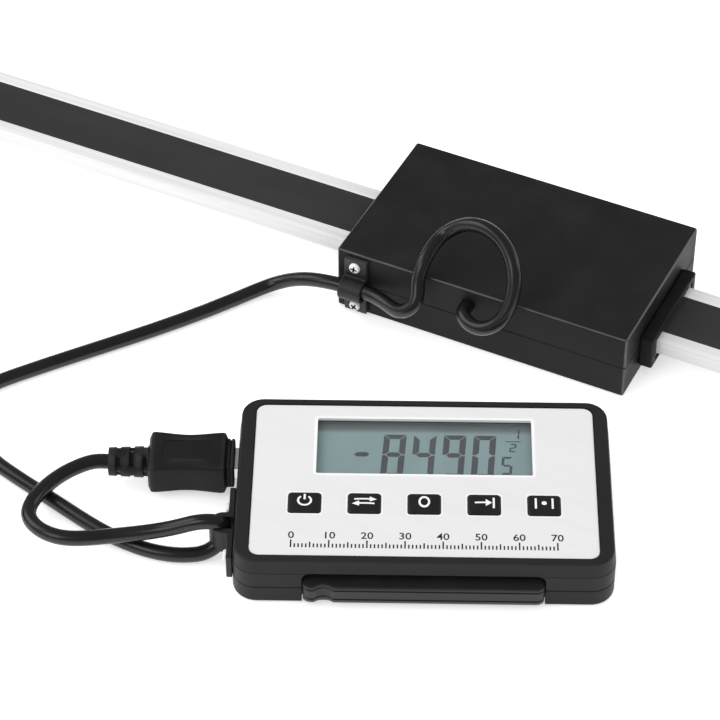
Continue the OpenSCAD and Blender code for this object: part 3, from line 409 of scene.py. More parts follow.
def carve(bm, tools, how="DIFFERENCE"):
    """Cuts the tools out of the mesh, or joins them to it, or keeps what it shares with them."""
    made = []
    for part in [bm] + tools:
        mesh = bpy.data.meshes.new("blank")
        part.to_mesh(mesh)
        part.free()
        made.append(bpy.data.objects.new("blank", mesh))
        bpy.context.scene.collection.objects.link(made[-1])
    for tool in made[1:]:
        cut = made[0].modifiers.new("cut", "BOOLEAN")
        cut.operation = how
        cut.solver = "EXACT"
        cut.object = tool
    carved = bmesh.new()
    carved.from_object(made[0], bpy.context.evaluated_depsgraph_get())
    for blank in made:
        mesh = blank.data
        bpy.data.objects.remove(blank)
        bpy.data.meshes.remove(mesh)
    return carved


def stack(l, w, r, steps, n=6):
    """Rounded rectangle rings at (inset, height) steps."""
    return [[(x, y, z) for x, y in outline(l - 2 * i, w - 2 * i, r - i, n)] for i, z in steps]


def round_points(x, y, r, turns):
    """Points of a circle round (x, y), at the given angles in degrees."""
    return [(x + r * math.cos(math.radians(a)), y + r * math.sin(math.radians(a))) for a in turns]


def arc(i0, z0, r, a0, a1, n):
    """(inset, height) steps along a rounded edge with its middle at (i0, z0)."""
    return round_points(i0, z0, r, [180 - a0 - (a1 - a0) * k / n for k in range(n + 1)])


def along_beam(w, h, r, steps):
    """Rounded rectangle rings round the beam's middle, at (x, inset) steps along it."""
    return [[(x, y, BEAM_Z + z) for y, z in outline(w - 2 * i, h - 2 * i, r - i)] for x, i in steps]


def passage():
    """The way through both of the head's end walls, with the left wiper's pocket."""
    past = HEAD_L / 2 + 1
    pocket = along_beam(WIPER_W + FIT, WIPER_H + FIT, 0.9, ((-past, 0), (WIPER_IN - HEAD_L / 2, 0)))
    return [block(-past, past, -PASSAGE_W / 2, PASSAGE_W / 2, BEAM_Z - PASSAGE_H / 2,
                  BEAM_Z + PASSAGE_H / 2), loft(pocket)]


def strap_hole(z):
    """The hole in the head's front wall for one of the saddle's screws."""
    return rod(STRAP_SCREW_D, (HEAD_STRAP_X, -HEAD_W / 2 - 1, z), (HEAD_STRAP_X, -HEAD_W / 2 + 2.5, z))


housing_black = surface("housing_black", (0.0155, 0.0155, 0.0159), 0.5, spec=0.17, grain=4200.0,
                        tone=0.2, cloud=75.0)
# A lighter, glossier black for the head's edges: its lighter colour is a painted highlight.
painted_edge_highlight = surface("painted_edge_highlight", (0.036, 0.036, 0.037), 0.3, spec=0.7, relief=0.00001, tone=0.5,
                      cloud=160.0)
line_in, line_h = HEAD_LINE
shoulder = HEAD_H - HEAD_R
upper = loft(stack(HEAD_L, HEAD_W, HEAD_R, [(line_in, HEAD_SPLIT), (0, HEAD_SPLIT + line_h), (0, shoulder)]
                   + arc(HEAD_TOP_R, HEAD_H - HEAD_TOP_R, HEAD_TOP_R, 0, 90, 5) + [(1.6, HEAD_H)], n=5))
inner_x, inner_y = HEAD_L / 2 - HEAD_WALL, HEAD_W / 2 - HEAD_WALL
upper = carve(upper, [block(-inner_x, inner_x, -inner_y, inner_y, 10, HEAD_H - HEAD_WALL)] + passage()
              + [rod(OUTLET_D, (OUTLET_X, -HEAD_W / 2 - 1, OUTLET_Z), (OUTLET_X, 3 - HEAD_W / 2, OUTLET_Z)),
                 strap_hole(HEAD_STRAP_Z + HEAD_STRAP_REACH)])
# Faces on the top's rounded edge and on the upright corners take the lighter material: a painted highlight
# along those edges.
for face in upper.faces:
    a, b, c = (abs(v) for v in face.normal)
    rim = face.calc_center_median().z > shoulder and 0.25 < c < 0.97
    face.material_index = int(rim or a > 0.4 and b > 0.4)
head_top = solid(upper, "head_cover", housing_black)
head_top.data.materials.append(painted_edge_highlight)
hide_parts("head_upper")

lower = loft(stack(HEAD_L, HEAD_W, HEAD_R, [(1.6, 0.0)] + arc(HEAD_R, HEAD_R, HEAD_R, -90, 0, 4)
                   + [(0, HEAD_SPLIT - line_h), (line_in, HEAD_SPLIT)], n=5))
lower = carve(lower, [block(-RAIL_L / 2, RAIL_L / 2, -RAIL_HALF, RAIL_HALF, RAIL_Z, 12)] + passage()
              + drills(INSERT_D, INSERT_AT, -1, INSERT_L)
              + drills(HEAD_SCREW_D, HEAD_SCREW_AT, -1, HEAD_SCREW_DEEP)
              + [strap_hole(HEAD_STRAP_Z - HEAD_STRAP_REACH)])
# The upright corners of the base take the lighter material too: a painted highlight.
for face in lower.faces:
    a, b, c = (abs(v) for v in face.normal)
    face.material_index = int(a > 0.4 and b > 0.4 and face.calc_center_median().z > 0.9)
head_base = solid(lower, "head_base_half", housing_black)
head_base.data.materials.append(painted_edge_highlight)
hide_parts("head_lower")


# ---- Inserts and housing screws ----
# Knurled brass inserts moulded into the head's base, and nickel-plated steel screws, four in the
# head and four in the display.
def coat(material, *names):
    """Gives a piece that is used as it is its finish."""
    for name in names:
        nodes[name].data.materials.clear()
        nodes[name].data.materials.append(material)


brass = surface("brass", (0.62, 0.46, 0.2), 0.34, metal=1.0, grain=1800.0, tone=0.18)
nickel = surface("nickel", (0.86, 0.86, 0.85), 0.2, metal=1.0, grain=900.0, relief=0.00001,
                 tone=0.1, cloud=400.0)
coat(brass, "head_inserts")
coat(nickel, "head_screws", "case_screws")

# ---- Inside the head and the display ----
# Low-friction acetal rails that the beam slides in, green circuit boards, and black moulded
# parts: the chip, the key switches and the cell holder. The flap's pins are blackened steel.
acetal = surface("acetal", (0.62, 0.62, 0.6), 0.45, spec=0.4, grain=1600.0, relief=0.00002)
solder_mask = surface("solder_mask", (0.015, 0.1, 0.05), 0.35, spec=0.5, grain=1400.0,
                      relief=0.00004, tone=0.4, cloud=420.0)
chip_black = surface("chip_black", (0.02, 0.02, 0.022), 0.55, spec=0.4, grain=3500.0, relief=0.00002)
coat(acetal, "rail_front", "rail_rear")
coat(solder_mask, "reader_board", "display_board")
coat(chip_black, "reader_chip", "key_switches", "cell_holder", "flap_pins")

# ---- Wipers ----
# A soft black block at each end of the head, let in flush on the left and standing proud on the
# right, with a grey rubber lip that hugs the beam. The lip's grey is lightened a little as a painted
# highlight, so that its thin edge shows as a bright line.
WIPER_OUT = 4.2  # how far the right wiper stands out
LIP_W, LIP_H = 27.8, 7.4
LIP_BACK = 0.3  # how far the lip lies behind the wiper's face
LIP_INNER_W, LIP_INNER_H = 25.5, 5.1
wiper_black = surface("wiper_black", (0.0085, 0.0085, 0.009), 0.6, spec=0.25, grain=1500.0,
                      relief=0.00008, tone=0.3, cloud=260.0)
# Grey rubber, lightened a little: part of its tone is a painted highlight on the lip's edge.
lip_rubber = surface("lip_rubber", (0.1, 0.1, 0.103), 0.5, spec=0.35, grain=2000.0, relief=0.00004,
                     tone=0.2)


def round_beam(x0, x1, w, h, soft=0.0, steps=3):
    """A box of the given width and height round the beam's middle."""
    return block(x0, x1, -w / 2, w / 2, BEAM_Z - h / 2, BEAM_Z + h / 2, soft=soft, steps=steps)


head_end = HEAD_L / 2
pocket_end = -43.42  # the left wiper stops just short of its pocket's end
flush = loft(along_beam(WIPER_W, WIPER_H, 0.85,
                        ((-head_end, 0.2), (0.2 - head_end, 0.0), (pocket_end, 0.0))))
proud = round_beam(head_end, head_end + WIPER_OUT, WIPER_W, WIPER_H, soft=0.65, steps=4)
left_lip = round_beam(LIP_BACK - head_end, -43.45, LIP_W, LIP_H, soft=0.15, steps=2)
right_lip = round_beam(head_end, head_end + WIPER_OUT - LIP_BACK, LIP_W, LIP_H, soft=0.25, steps=2)
for end, form, lip in (("left", flush, left_lip), ("right", proud, right_lip)):
    wiper = carve(form, [round_beam(-51, 51, LIP_W, LIP_H)])
    wiper = solid(wiper, "wiper_" + end + "_block", wiper_black)
    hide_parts("wiper_" + end)
    lip = carve(lip, [round_beam(-51, 51, LIP_INNER_W, LIP_INNER_H)])
    lip = solid(lip, "lip_" + end + "_ring", lip_rubber)
    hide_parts("lip_" + end)

# ---- Beam ----
# Extruded aluminium, satin anodised, with drawn streaks along its length and broken edges. It has
# a sunk bed for the scale strip with bright chamfers beside it, and two fixing holes at each end.
BEAM_W, BEAM_T = 25.4, 5.0
BEAM_ENDS = (-240.0, 210.0)
BEAM_TOP = BEAM_Z + BEAM_T / 2
BED_HALF, BED_DEEP, BED_CHAMFER = 8.2, 0.5, 0.3
STRIP_ENDS = (-215.0, 185.0)
END_HOLES = (-234.0, -222.0, 192.0, 204.0)
END_HOLE_D, END_HOLE_FLARE = 4.5, 5.5
anodised = surface("anodised", (0.85, 0.85, 0.855), 0.42, metal=0.15, spec=0.5, grain=2500.0,
                   relief=0.00002, tone=0.08, cloud=700.0, stretch=(0.02, 1.0, 1.0))
profile = outline(BEAM_W, BEAM_T, 0.5, n=4, y=BEAM_Z)
bed = [(BED_HALF + BED_CHAMFER, BEAM_TOP + 0.3), (BED_HALF + BED_CHAMFER, BEAM_TOP),
       (BED_HALF, BEAM_TOP - BED_CHAMFER), (BED_HALF, BEAM_TOP - BED_DEEP)]
bed = [(-y, z) for y, z in bed] + bed[::-1]
beam_bar = carve(loft([[(x, y, z) for y, z in profile] for x in BEAM_ENDS]),
                 [loft([[(x, y, z) for y, z in bed] for x in STRIP_ENDS])]
                 + [rod(END_HOLE_D, (x, 0, 5), (x, 0, 13)) for x in END_HOLES]
                 + [rod(END_HOLE_D, (x, 0, 11.2), (x, 0, 11.7), d2=END_HOLE_FLARE) for x in END_HOLES])
beam = solid(beam_bar, "scale_bar", anodised, body="beam_body", crease=25.0)
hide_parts("beam")

# ---- Scale strip ----
# Glass-fibre strip with the copper scale under a matt dark film, glued into the beam's bed. Only
# the film shows.
STRIP_HALF = 8.15
film = surface("film", (0.034, 0.034, 0.036), 0.55, spec=0.2, grain=5200.0, relief=0.00002, tone=0.1,
               cloud=90.0, stretch=(0.3, 1.0, 1.0))
strip = solid(block(*STRIP_ENDS, -STRIP_HALF, STRIP_HALF, 11.02, 11.4, soft=0.06, steps=1),
              "scale_film", film, body="beam_body")
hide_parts("scale_strip")

# ---- Grommet ----
# A plain black rubber ring in the head's front wall, which the cable comes out of.
ring_y = (-HEAD_W / 2, HEAD_WALL - HEAD_W / 2)
bore_y = (-HEAD_W / 2 - 1, 3 - HEAD_W / 2)
grommet, bore = [rod(d, (OUTLET_X, y0, OUTLET_Z), (OUTLET_X, y1, OUTLET_Z))
                 for d, (y0, y1) in ((OUTLET_D, ring_y), (CABLE_D, bore_y))]
grommet = carve(grommet, [bore])
grommet = solid(grommet, "cable_grommet_ring", wiper_black)
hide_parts("cable_grommet")

# ---- Saddles and their screws ----
# Moulded black straps over the cable, one on the head's front wall and one on the display's left
# wall. Each is held by two nickel pan head screws that have a deep cross.
PAN_R, PAN_H = 1.8, 1.6
SHANK_R, SHANK_L = 1.0, 3.9
CROSS_FLOOR, CROSS_TOP = (0.85, 0.22, 0.8), (1.3, 0.37, 1.9)  # half length, half width, height


def strap_saddle(l, w, tab, bow, rise):
    """A strap across a cable that runs along Y, lying on z = 0, with filleted shoulders."""
    c = CABLE_D / 2
    r = c + bow
    fillet = 0.7
    over = round_points(0, rise, r, range(0, 181, 12))
    under = round_points(0, rise, c, range(180, -1, -15))
    foot = round_points(r + fillet, tab + fillet, fillet, (270, 240, 210, 180))
    shape = ([(l / 2, 0), (l / 2, tab)] + foot + over + [(-x, z) for x, z in foot[::-1]]
             + [(-l / 2, tab), (-l / 2, 0), (-c, 0)] + under + [(c, 0)])
    bm = loft([[(x, y, z) for x, z in shape] for y in (-w / 2, w / 2)])
    corners = [e for e in bm.edges if len(e.link_faces) == 2 and e.calc_face_angle() > 0.9]
    bmesh.ops.bevel(bm, geom=corners, offset=0.28, segments=3, affect="EDGES", profile=0.5, material=-1)
    return bm


def pan_heads(seats):
    """Pan head screws, each pointing down from its seat, with a deep tapered cross."""
    bm = bmesh.new()
    crown = [(PAN_R * math.cos(math.radians(a)) ** 0.55, PAN_H * (0.35 + 0.65 * math.sin(math.radians(a))))
             for a in (0, 18, 36, 54, 70)]
    side = [(SHANK_R, -SHANK_L), (SHANK_R, 0), (PAN_R - 0.08, 0), (PAN_R, 0.12)] + crown
    rings = [[(x, y, z) for x, y in round_points(0, 0, r, range(0, 360, 15))] for r, z in side]
    for seat in seats:
        arms = []
        for turn in (0, 90):
            arm = loft([[(x, y, z) for x, y in ((-g, -t), (g, -t), (g, t), (-g, t))]
                        for g, t, z in (CROSS_FLOOR, CROSS_TOP)])
            arm.transform(Matrix.Rotation(math.radians(turn), 4, "Z"))
            arms.append(arm)
        one = carve(loft(rings), arms)
        # The cross's walls and floor take the dark material: painted shade in the recess.
        for face in one.faces:
            at = face.calc_center_median()
            wall = at.xy.length < 1.25 and 0.7 < at.z < 1.4 and abs(face.normal.z) < 0.9
            face.material_index = int(wall or abs(at.z - CROSS_FLOOR[2]) < 0.01)
        one.transform(seat)
        part = bpy.data.meshes.new("part")
        one.to_mesh(part)
        one.free()
        bm.from_mesh(part)
    return bm


def strap_screws(name, wall, reach, tab, squat, turns):
    """The two screws of a saddle: near its ends, on its tabs, each turned its own way."""
    seats = [wall @ Matrix.Translation((0, reach * s, tab)) @ Matrix.Rotation(math.radians(turn), 4, "Z")
             @ Matrix.Diagonal((0.92, 0.92, squat, 1.0)) for s, turn in zip((-1, 1), turns)]
    screws = solid(pan_heads(seats), name, bright_nickel, crease=35.0)
    screws.data.materials.append(cross_painted_shade)
    return screws


bright_nickel = surface("bright_nickel", (0.96, 0.96, 0.95), 0.3, metal=0.1, spec=0.8, grain=900.0,
                        relief=0.00001, tone=0.06, cloud=400.0)
# Near-black for the inside of each screw's cross: painted shade in the recess.
cross_painted_shade = surface("cross_painted_shade", (0.03, 0.03, 0.03), 0.6, spec=0.2, grain=2000.0, relief=0.00001)
# Its edge colour is a painted highlight on the strap's sharp edges.
saddle_black = surface("saddle_black", (0.014, 0.014, 0.015), 0.42, spec=0.3, grain=2600.0, tone=0.15,
                       cloud=120.0, edge=(0.045, 0.045, 0.047))
quarter = Matrix.Rotation(math.radians(90), 4, "Z")
on_head = (Matrix.Translation((HEAD_STRAP_X, -HEAD_W / 2, HEAD_STRAP_Z))
           @ Matrix.Rotation(math.radians(90), 4, "X"))
head_saddle = solid(strap_saddle(19.3, 7.0, 1.5, 1.2, 3.2), "head_strap", saddle_black,
                    place=on_head @ quarter, crease=40.0)
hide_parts("head_saddle")
head_strap_screws = strap_screws("head_strap_screws", on_head, HEAD_STRAP_REACH, 1.5, 0.75, (57, 83))
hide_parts("head_saddle_screws")

CASE_L, CASE_W = 101.0, 62.0
SIDE_STRAP_Y, SIDE_STRAP_Z, SIDE_STRAP_REACH = -13.0, 7.75, 8.5
IN_DISPLAY = Matrix.Translation((14.7, -95.0, 0.0)) @ Matrix.Rotation(math.radians(25), 4, "Z")
on_side = (IN_DISPLAY @ Matrix.Translation((-CASE_L / 2, SIDE_STRAP_Y, SIDE_STRAP_Z))
           @ Matrix.Rotation(math.radians(-90), 4, "Y"))
display_saddle = solid(strap_saddle(26.0, 7.5, 1.6, 1.8, 2.8), "display_strap", saddle_black,
                       place=on_side @ quarter, crease=40.0)
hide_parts("disp_saddle")
display_strap_screws = strap_screws("display_strap_screws", on_side, SIDE_STRAP_REACH, 1.6, 0.72, (70, 50))
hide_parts("disp_saddle_screws")

# ---- Display housing ----
# Two charcoal ABS shells. The side stands upright to a fine line and leans in above it to a
# rounded rim, and the back shell has a broad rounded edge. The front wall is cut out for the flap,
# and the back for the cell cover, the magnets and the screws.
CASE_R, CASE_FOOT_R = 6.5, 1.2
CASE_SPLIT, CASE_BAND, CASE_TOP = 5.8, 10.8, 15.6
CASE_LINE = (0.26, 0.25)  # depth and half height of the line at the split
RIM_IN, RIM_R = 1.15, 0.6
PLATE_L, PLATE_W, PLATE_R, PLATE_GAP = 92.0, 56.4, 2.8, 0.2
DECK = 14.5  # what the face plate lies on
ROOM = (-48.3, 48.3, -25.2, 28.8)  # left, right, near and far wall of the room inside
WINDOW = (-30.1, 30.1, 1.1, 24.1)
KEYS_X = (-31.8, -15.9, 0.0, 15.9, 31.8)
KEY_Y = -9.0
SOCKET_HOLE = (-51.5, -42.9, 8.0, 18.6, 4.5, 10.3)
HINGE_Y, HINGE_Z = -29.9, 3.6
FLAP_L = 63.5
RECESS_L, RECESS_H, RECESS_R = FLAP_L + 0.6, 14.0, 2.6
ROLL_R = 0.95  # roll of the recess's edge into the front wall
PIN_D = 1.5
COVER_HALF, TONGUE_HALF, COVER_Y = 14.0, 14.8, -3.0
COVER_T, TONGUE_LOW, TONGUE_HIGH = 1.4, 0.5, 1.1
charcoal = surface("charcoal", (0.0195, 0.0195, 0.0203), 0.46, spec=0.17, grain=3600.0, tone=0.08,
                   cloud=50.0)


def back_blank():
    """The back shell's outer form, before anything is cut out of it."""
    line_in, line_h = CASE_LINE
    steps = (arc(CASE_FOOT_R, CASE_FOOT_R, CASE_FOOT_R, -90, 0, 5)
             + [(0, CASE_SPLIT - line_h), (line_in, CASE_SPLIT)])
    return loft(stack(CASE_L, CASE_W, CASE_R, steps, n=9))


def flap_room():
    """The recess for the flap, with a rolled edge, and a round seat for the flap's foot."""
    rolled = round_points(ROLL_R - CASE_W / 2, ROLL_R, ROLL_R, (270, 250, 230, 210, 192))
    rings = [[(x, y, HINGE_Z + z) for x, z in outline(RECESS_L, RECESS_H + 2 * grow, RECESS_R, 8)]
             for y, grow in [(-27.8, 0.0)] + rolled + [(-31.3, 2.1), (-33.0, 2.1)]]
    seat_x = RECESS_L / 2
    return [loft(rings), rod(7.4, (-seat_x, HINGE_Y, HINGE_Z), (seat_x, HINGE_Y, HINGE_Z), n=48)]


line_in, line_h = CASE_LINE
front = stack(CASE_L, CASE_W, CASE_R,
              [(line_in, CASE_SPLIT), (0, CASE_SPLIT + line_h), (0, CASE_BAND), (0.12, CASE_BAND + 0.18),
               (0.47, CASE_TOP - 0.9)] + arc(RIM_IN, CASE_TOP - RIM_R, RIM_R, 0, 90, 4), n=9)
plate_bed = stack(PLATE_L + 2 * PLATE_GAP, PLATE_W + 2 * PLATE_GAP, PLATE_R + PLATE_GAP,
                  [(0, DECK), (0, CASE_TOP + 1)], n=9)
strap_holes = [rod(STRAP_SCREW_D, (-52, SIDE_STRAP_Y + SIDE_STRAP_REACH * s, SIDE_STRAP_Z),
                   (-48, SIDE_STRAP_Y + SIDE_STRAP_REACH * s, SIDE_STRAP_Z)) for s in (-1, 1)]
front = carve(loft(front), [loft(plate_bed), block(*ROOM, 5, 13.0), block(*WINDOW, 12, 16)] + flap_room()
              + [block(x - 4.5, x + 4.5, KEY_Y - 3.95, KEY_Y + 3.95, 12, 16) for x in KEYS_X]
              + [block(*SOCKET_HOLE)] + strap_holes)
case_front = solid(front, "display_front_shell", charcoal, place=IN_DISPLAY, crease=28.0)
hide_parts("case_front")

cover_room = COVER_HALF + FIT
tongue_room = TONGUE_HALF + FIT
back = carve(back_blank(), [block(*ROOM, 2.2, 6)] + flap_room()
             + [block(-cover_room, cover_room, COVER_Y - FIT, 40, -1, COVER_T + FIT),
                block(-tongue_room, tongue_room, COVER_Y - FIT, 40, TONGUE_LOW - FIT, TONGUE_HIGH + FIT),
                rod(24, (0, 10, 0.2), (0, 10, 6), n=48), block(*SOCKET_HOLE)]
             + drills(8, (35.0, 16.0), -1, 1.5) + drills(4, (43.5, 24.0), -1, 2.8)
             + [rod(PIN_D, (34.8 * s, HINGE_Y, HINGE_Z), (31 * s, HINGE_Y, HINGE_Z), n=20)
                for s in (-1, 1)])
case_back = solid(back, "display_back_shell", charcoal, place=IN_DISPLAY, crease=28.0)
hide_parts("case_back")

# ---- Cell cover ----
# A thin lid of the same plastic that slides out of the far wall on two tongues, with four finger
# grooves. The steel-cased coin cell lies behind it, and four plated magnets lie beside it.
cover = carve(back_blank(), [block(-COVER_HALF, COVER_HALF, COVER_Y, 40, -1, COVER_T)], how="INTERSECT")
tongues = carve(back_blank(), [block(-TONGUE_HALF, TONGUE_HALF, COVER_Y, 40, TONGUE_LOW, TONGUE_HIGH)],
                how="INTERSECT")
cover = carve(cover, [tongues], how="UNION")
cover = carve(cover, [block(-8, 8, y, y + 0.6, -1, 0.4) for y in (0.2, 1.8, 3.4, 5.0)])
cell_lid = solid(cover, "cell_lid", charcoal, body="cover_body", place=IN_DISPLAY, crease=28.0)
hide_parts("cell_cover")
cell_steel = surface("cell_steel", (0.6, 0.6, 0.59), 0.3, metal=1.0, grain=1200.0, relief=0.00001,
                     tone=0.1)
coat(cell_steel, "coin_cell", "back_magnets")

# ---- Face plate ----
# Thin sheet with a satin silver finish and a broken edge, glued on the front shell. It is printed
# with a white border round the window and each key, and with a plain millimetre rule.
KEY_L, KEY_W, KEY_R, KEY_BOW = 8.7, 7.7, 0.8, 0.5
WINDOW_L, WINDOW_W, WINDOW_Y = 58.2, 21.0, 12.6
PLATE_TOP = 15.3
INK_Z = PLATE_TOP + 0.015
RULE_Y, NUMBERS_Y = -25.3, -22.0
TICK_W, TICK_TENS, TICK_FIVES, TICK_ONES = 0.4, 2.7, 2.0, 1.4
NUMBER_SIZE, NUMBER_BOLD = 3.4, 0.04


def key_outline(grow, n=5):
    """A key seen from above: a rounded rectangle whose far edge bows outwards."""
    half = KEY_L / 2 + grow
    return [(x, y - (KEY_BOW * (x / half) ** 2 if y > 0 else 0.0)) for x, y in outline(
        KEY_L + 2 * grow, KEY_W + 2 * grow, KEY_R + grow * 0.5, n)]


def window_outline(grow, r, n):
    """The window's opening seen from above, grown on every side."""
    return outline(WINDOW_L + 2 * grow, WINDOW_W + 2 * grow, r, n, y=WINDOW_Y)


def border(bm, inner, outer, dx=0.0, dy=0.0):
    """A flat printed band between two outlines, moved by (dx, dy)."""
    a, b = [hoop(bm, [(x + dx, y + dy, INK_Z) for x, y in line]) for line in (inner, outer)]
    bmesh.ops.triangle_fill(bm, edges=a + b, use_beauty=True)


def dash(bm, x, y, l, w, z):
    """A flat printed rectangle round its middle."""
    bmesh.ops.create_grid(bm, x_segments=1, y_segments=1, size=0.5,
                          matrix=Matrix.Translation((x, y, z)) @ Matrix.Diagonal((l, w, 1, 1)))


silver = surface("silver", (0.865, 0.865, 0.87), 0.38, metal=0.15, spec=0.45, grain=2400.0,
                 relief=0.000015, tone=0.012, cloud=420.0, stretch=(0.05, 1.0, 1.0))
plate = loft(stack(PLATE_L, PLATE_W, PLATE_R,
                   [(0, DECK), (0, PLATE_TOP - 0.2), (0.06, PLATE_TOP - 0.08), (0.2, PLATE_TOP)], n=6))
holes = [loft([[(x + kx, y + KEY_Y, z) for x, y in key_outline(0.12)] for z in (14, 16)]) for kx in KEYS_X]
holes.append(loft([[(x, y, z) for x, y in window_outline(0.0, 0.4, 3)] for z in (14, 16)]))
face = solid(carve(plate, holes), "silver_plate", silver, place=IN_DISPLAY, crease=25.0)
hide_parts("face_plate")

white_ink = surface("white_ink", (0.9, 0.9, 0.9), 0.5, grain=2000.0, relief=0.00001, tone=0.02)
black_ink = surface("black_ink", (0.02, 0.018, 0.018), 0.5, grain=2000.0, relief=0.00001, tone=0.1)
print_bm = bmesh.new()
border(print_bm, window_outline(0.05, 0.4, 4), window_outline(0.85, 1.1, 4))
for kx in KEYS_X:
    border(print_bm, key_outline(0.16), key_outline(0.6), kx, KEY_Y)
solid(print_bm, "plate_borders", white_ink, place=IN_DISPLAY, printed=True)
rule = bmesh.new()
for mark in range(71):
    x = mark - 35
    tall = TICK_TENS if mark % 10 == 0 else TICK_FIVES if mark % 5 == 0 else TICK_ONES
    dash(rule, x, RULE_Y + tall / 2, TICK_W, tall, INK_Z)
    if mark % 10 == 0:
        number = bpy.data.curves.new("number", "FONT")
        number.body = str(mark)
        number.size = NUMBER_SIZE
        number.offset = NUMBER_BOLD
        number.align_x = "CENTER"
        number.resolution_u = 3
        stand = bpy.data.objects.new("number", number)
        bpy.context.scene.collection.objects.link(stand)
        flat = bpy.data.meshes.new_from_object(stand.evaluated_get(bpy.context.evaluated_depsgraph_get()))
        flat.transform(Matrix.Translation((x, NUMBERS_Y, INK_Z)))
        rule.from_mesh(flat)
        bpy.data.objects.remove(stand)
        bpy.data.curves.remove(number)
        bpy.data.meshes.remove(flat)
solid(rule, "plate_rule", black_ink, place=IN_DISPLAY, printed=True)

# ---- Window and liquid crystal panel ----
# A clear acrylic block fills the opening under the plate. The panel of two glass sheets lies below
# it and shows a reading in slanted seven-bar figures. Dark strips along its far side are a painted
# shadow of the housing.
LENS_LOW, LENS_HIGH = 13.06, 14.46
PANEL_TOP = 12.96
SHADE_HALF_L = 29.9
PAINTED_SHADOW_BANDS = ((20.0, 20.4, 0.24), (20.4, 20.8, 0.19), (20.8, 21.3, 0.15), (21.3, 23.9, 0.115))
FIGURE_Z = PANEL_TOP + 0.02
SLANT = 0.066
FIGURE_Y, FIGURE_H, FIGURE_T, FIGURE_WAIST = 3.0, 16.4, 1.7, 0.53
SEGMENTS = {"8": "abcdefg", "4": "bcfg", "9": "abcdfg", "0": "abcdef", "5": "acdfg", "2": "abdeg",
            "1": "bc", "-": "g"}
clear = surface("clear", (0.35, 0.4, 0.4), 0.06, spec=0.6, grain=700.0, relief=0.000004, tone=0.1)
clear.node_tree.nodes["Principled BSDF"].inputs["Alpha"].default_value = 0.1
lens = solid(block(*WINDOW, LENS_LOW, LENS_HIGH, soft=0.05, steps=1), "clear_window", clear,
             place=IN_DISPLAY)
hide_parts("window_lens")
lcd_teal = surface("lcd_teal", (0.232, 0.338, 0.352), 0.35, spec=0.35, grain=1300.0, relief=0.00001,
                   tone=0.06, cloud=160.0, stretch=(1.0, 0.25, 1.0))
panel = solid(block(-32, 32, -0.9, 26.1, 11.2, PANEL_TOP, soft=0.1, steps=1), "reading_panel",
              lcd_teal, place=IN_DISPLAY)
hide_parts("lcd_panel")
# Flat strips on the panel, darker towards the far wall: a painted shadow of the housing.
for i, (y0, y1, shade) in enumerate(PAINTED_SHADOW_BANDS):
    lcd_shade = surface("lcd_painted_shadow_%d" % (i + 1), (shade, shade * 1.2, shade * 1.27), 0.4, spec=0.3,
                        grain=1300.0, relief=0.00001, tone=0.08)
    solid(block(-SHADE_HALF_L, SHADE_HALF_L, y0, y1, PANEL_TOP - 0.06, PANEL_TOP + 0.015),
          "panel_painted_shadow_%d" % (i + 1), lcd_shade, place=IN_DISPLAY)


def patch(bm, ring):
    """A flat printed face inside a ring of points."""
    bmesh.ops.edgeloop_fill(bm, edges=hoop(bm, ring))


def figures(bm, text, x, y, w, h, t, pitch=0.0, waist=0.5):
    """Slanted seven-bar figures; (x, y) is the foot of the first one."""
    g = t * 0.12
    m = h * waist
    for i, char in enumerate(text):
        bars = {"a": ((g, h), (w - g, h), (w - t, h - t), (t, h - t)),
                "d": ((g, 0), (w - g, 0), (w - t, t), (t, t)),
                "f": ((0, h - g), (t, h - t - g), (t, m + t / 2 + g), (t / 2, m + g), (0, m + g)),
                "b": ((w, h - g), (w - t, h - t - g), (w - t, m + t / 2 + g), (w - t / 2, m + g),
                      (w, m + g)),
                "e": ((0, g), (t, t + g), (t, m - t / 2 - g), (t / 2, m - g), (0, m - g)),
                "c": ((w, g), (w - t, t + g), (w - t, m - t / 2 - g), (w - t / 2, m - g), (w, m - g)),
                "g": ((t * 0.6, m), (t * 1.1, m + t / 2), (w - t * 1.1, m + t / 2), (w - t * 0.6, m),
                      (w - t * 1.1, m - t / 2), (t * 1.1, m - t / 2))}
        for name in SEGMENTS[char]:
            patch(bm, [(x + pitch * i + u + SLANT * v, y + v, FIGURE_Z) for u, v in bars[name]])


reading = bmesh.new()
figures(reading, "-", -20.7, FIGURE_Y, 6.3, FIGURE_H, FIGURE_T, waist=FIGURE_WAIST)
figures(reading, "8490", -12.0, FIGURE_Y, 6.15, FIGURE_H, FIGURE_T, pitch=8.15, waist=FIGURE_WAIST)
figures(reading, "5", 20.6, 4.6, 3.0, 6.8, 0.75)
figures(reading, "1", 23.6, 18.0, 2.2, 4.2, 0.5)
figures(reading, "2", 23.0, 13.2, 1.9, 3.2, 0.5)
dash(reading, 24.2, 17.2, 4.2, 0.35, FIGURE_Z)
figure_grey = surface("figure_grey", (0.036, 0.033, 0.042), 0.5, spec=0.2, grain=2000.0,
                      relief=0.000005, tone=0.1)
solid(reading, "reading_figures", figure_grey, place=IN_DISPLAY, printed=True)
elastomer = surface("elastomer", (0.3, 0.3, 0.31), 0.7, grain=2500.0, relief=0.00004, tone=0.3,
                    cloud=1500.0)
coat(elastomer, "zebra_strips")

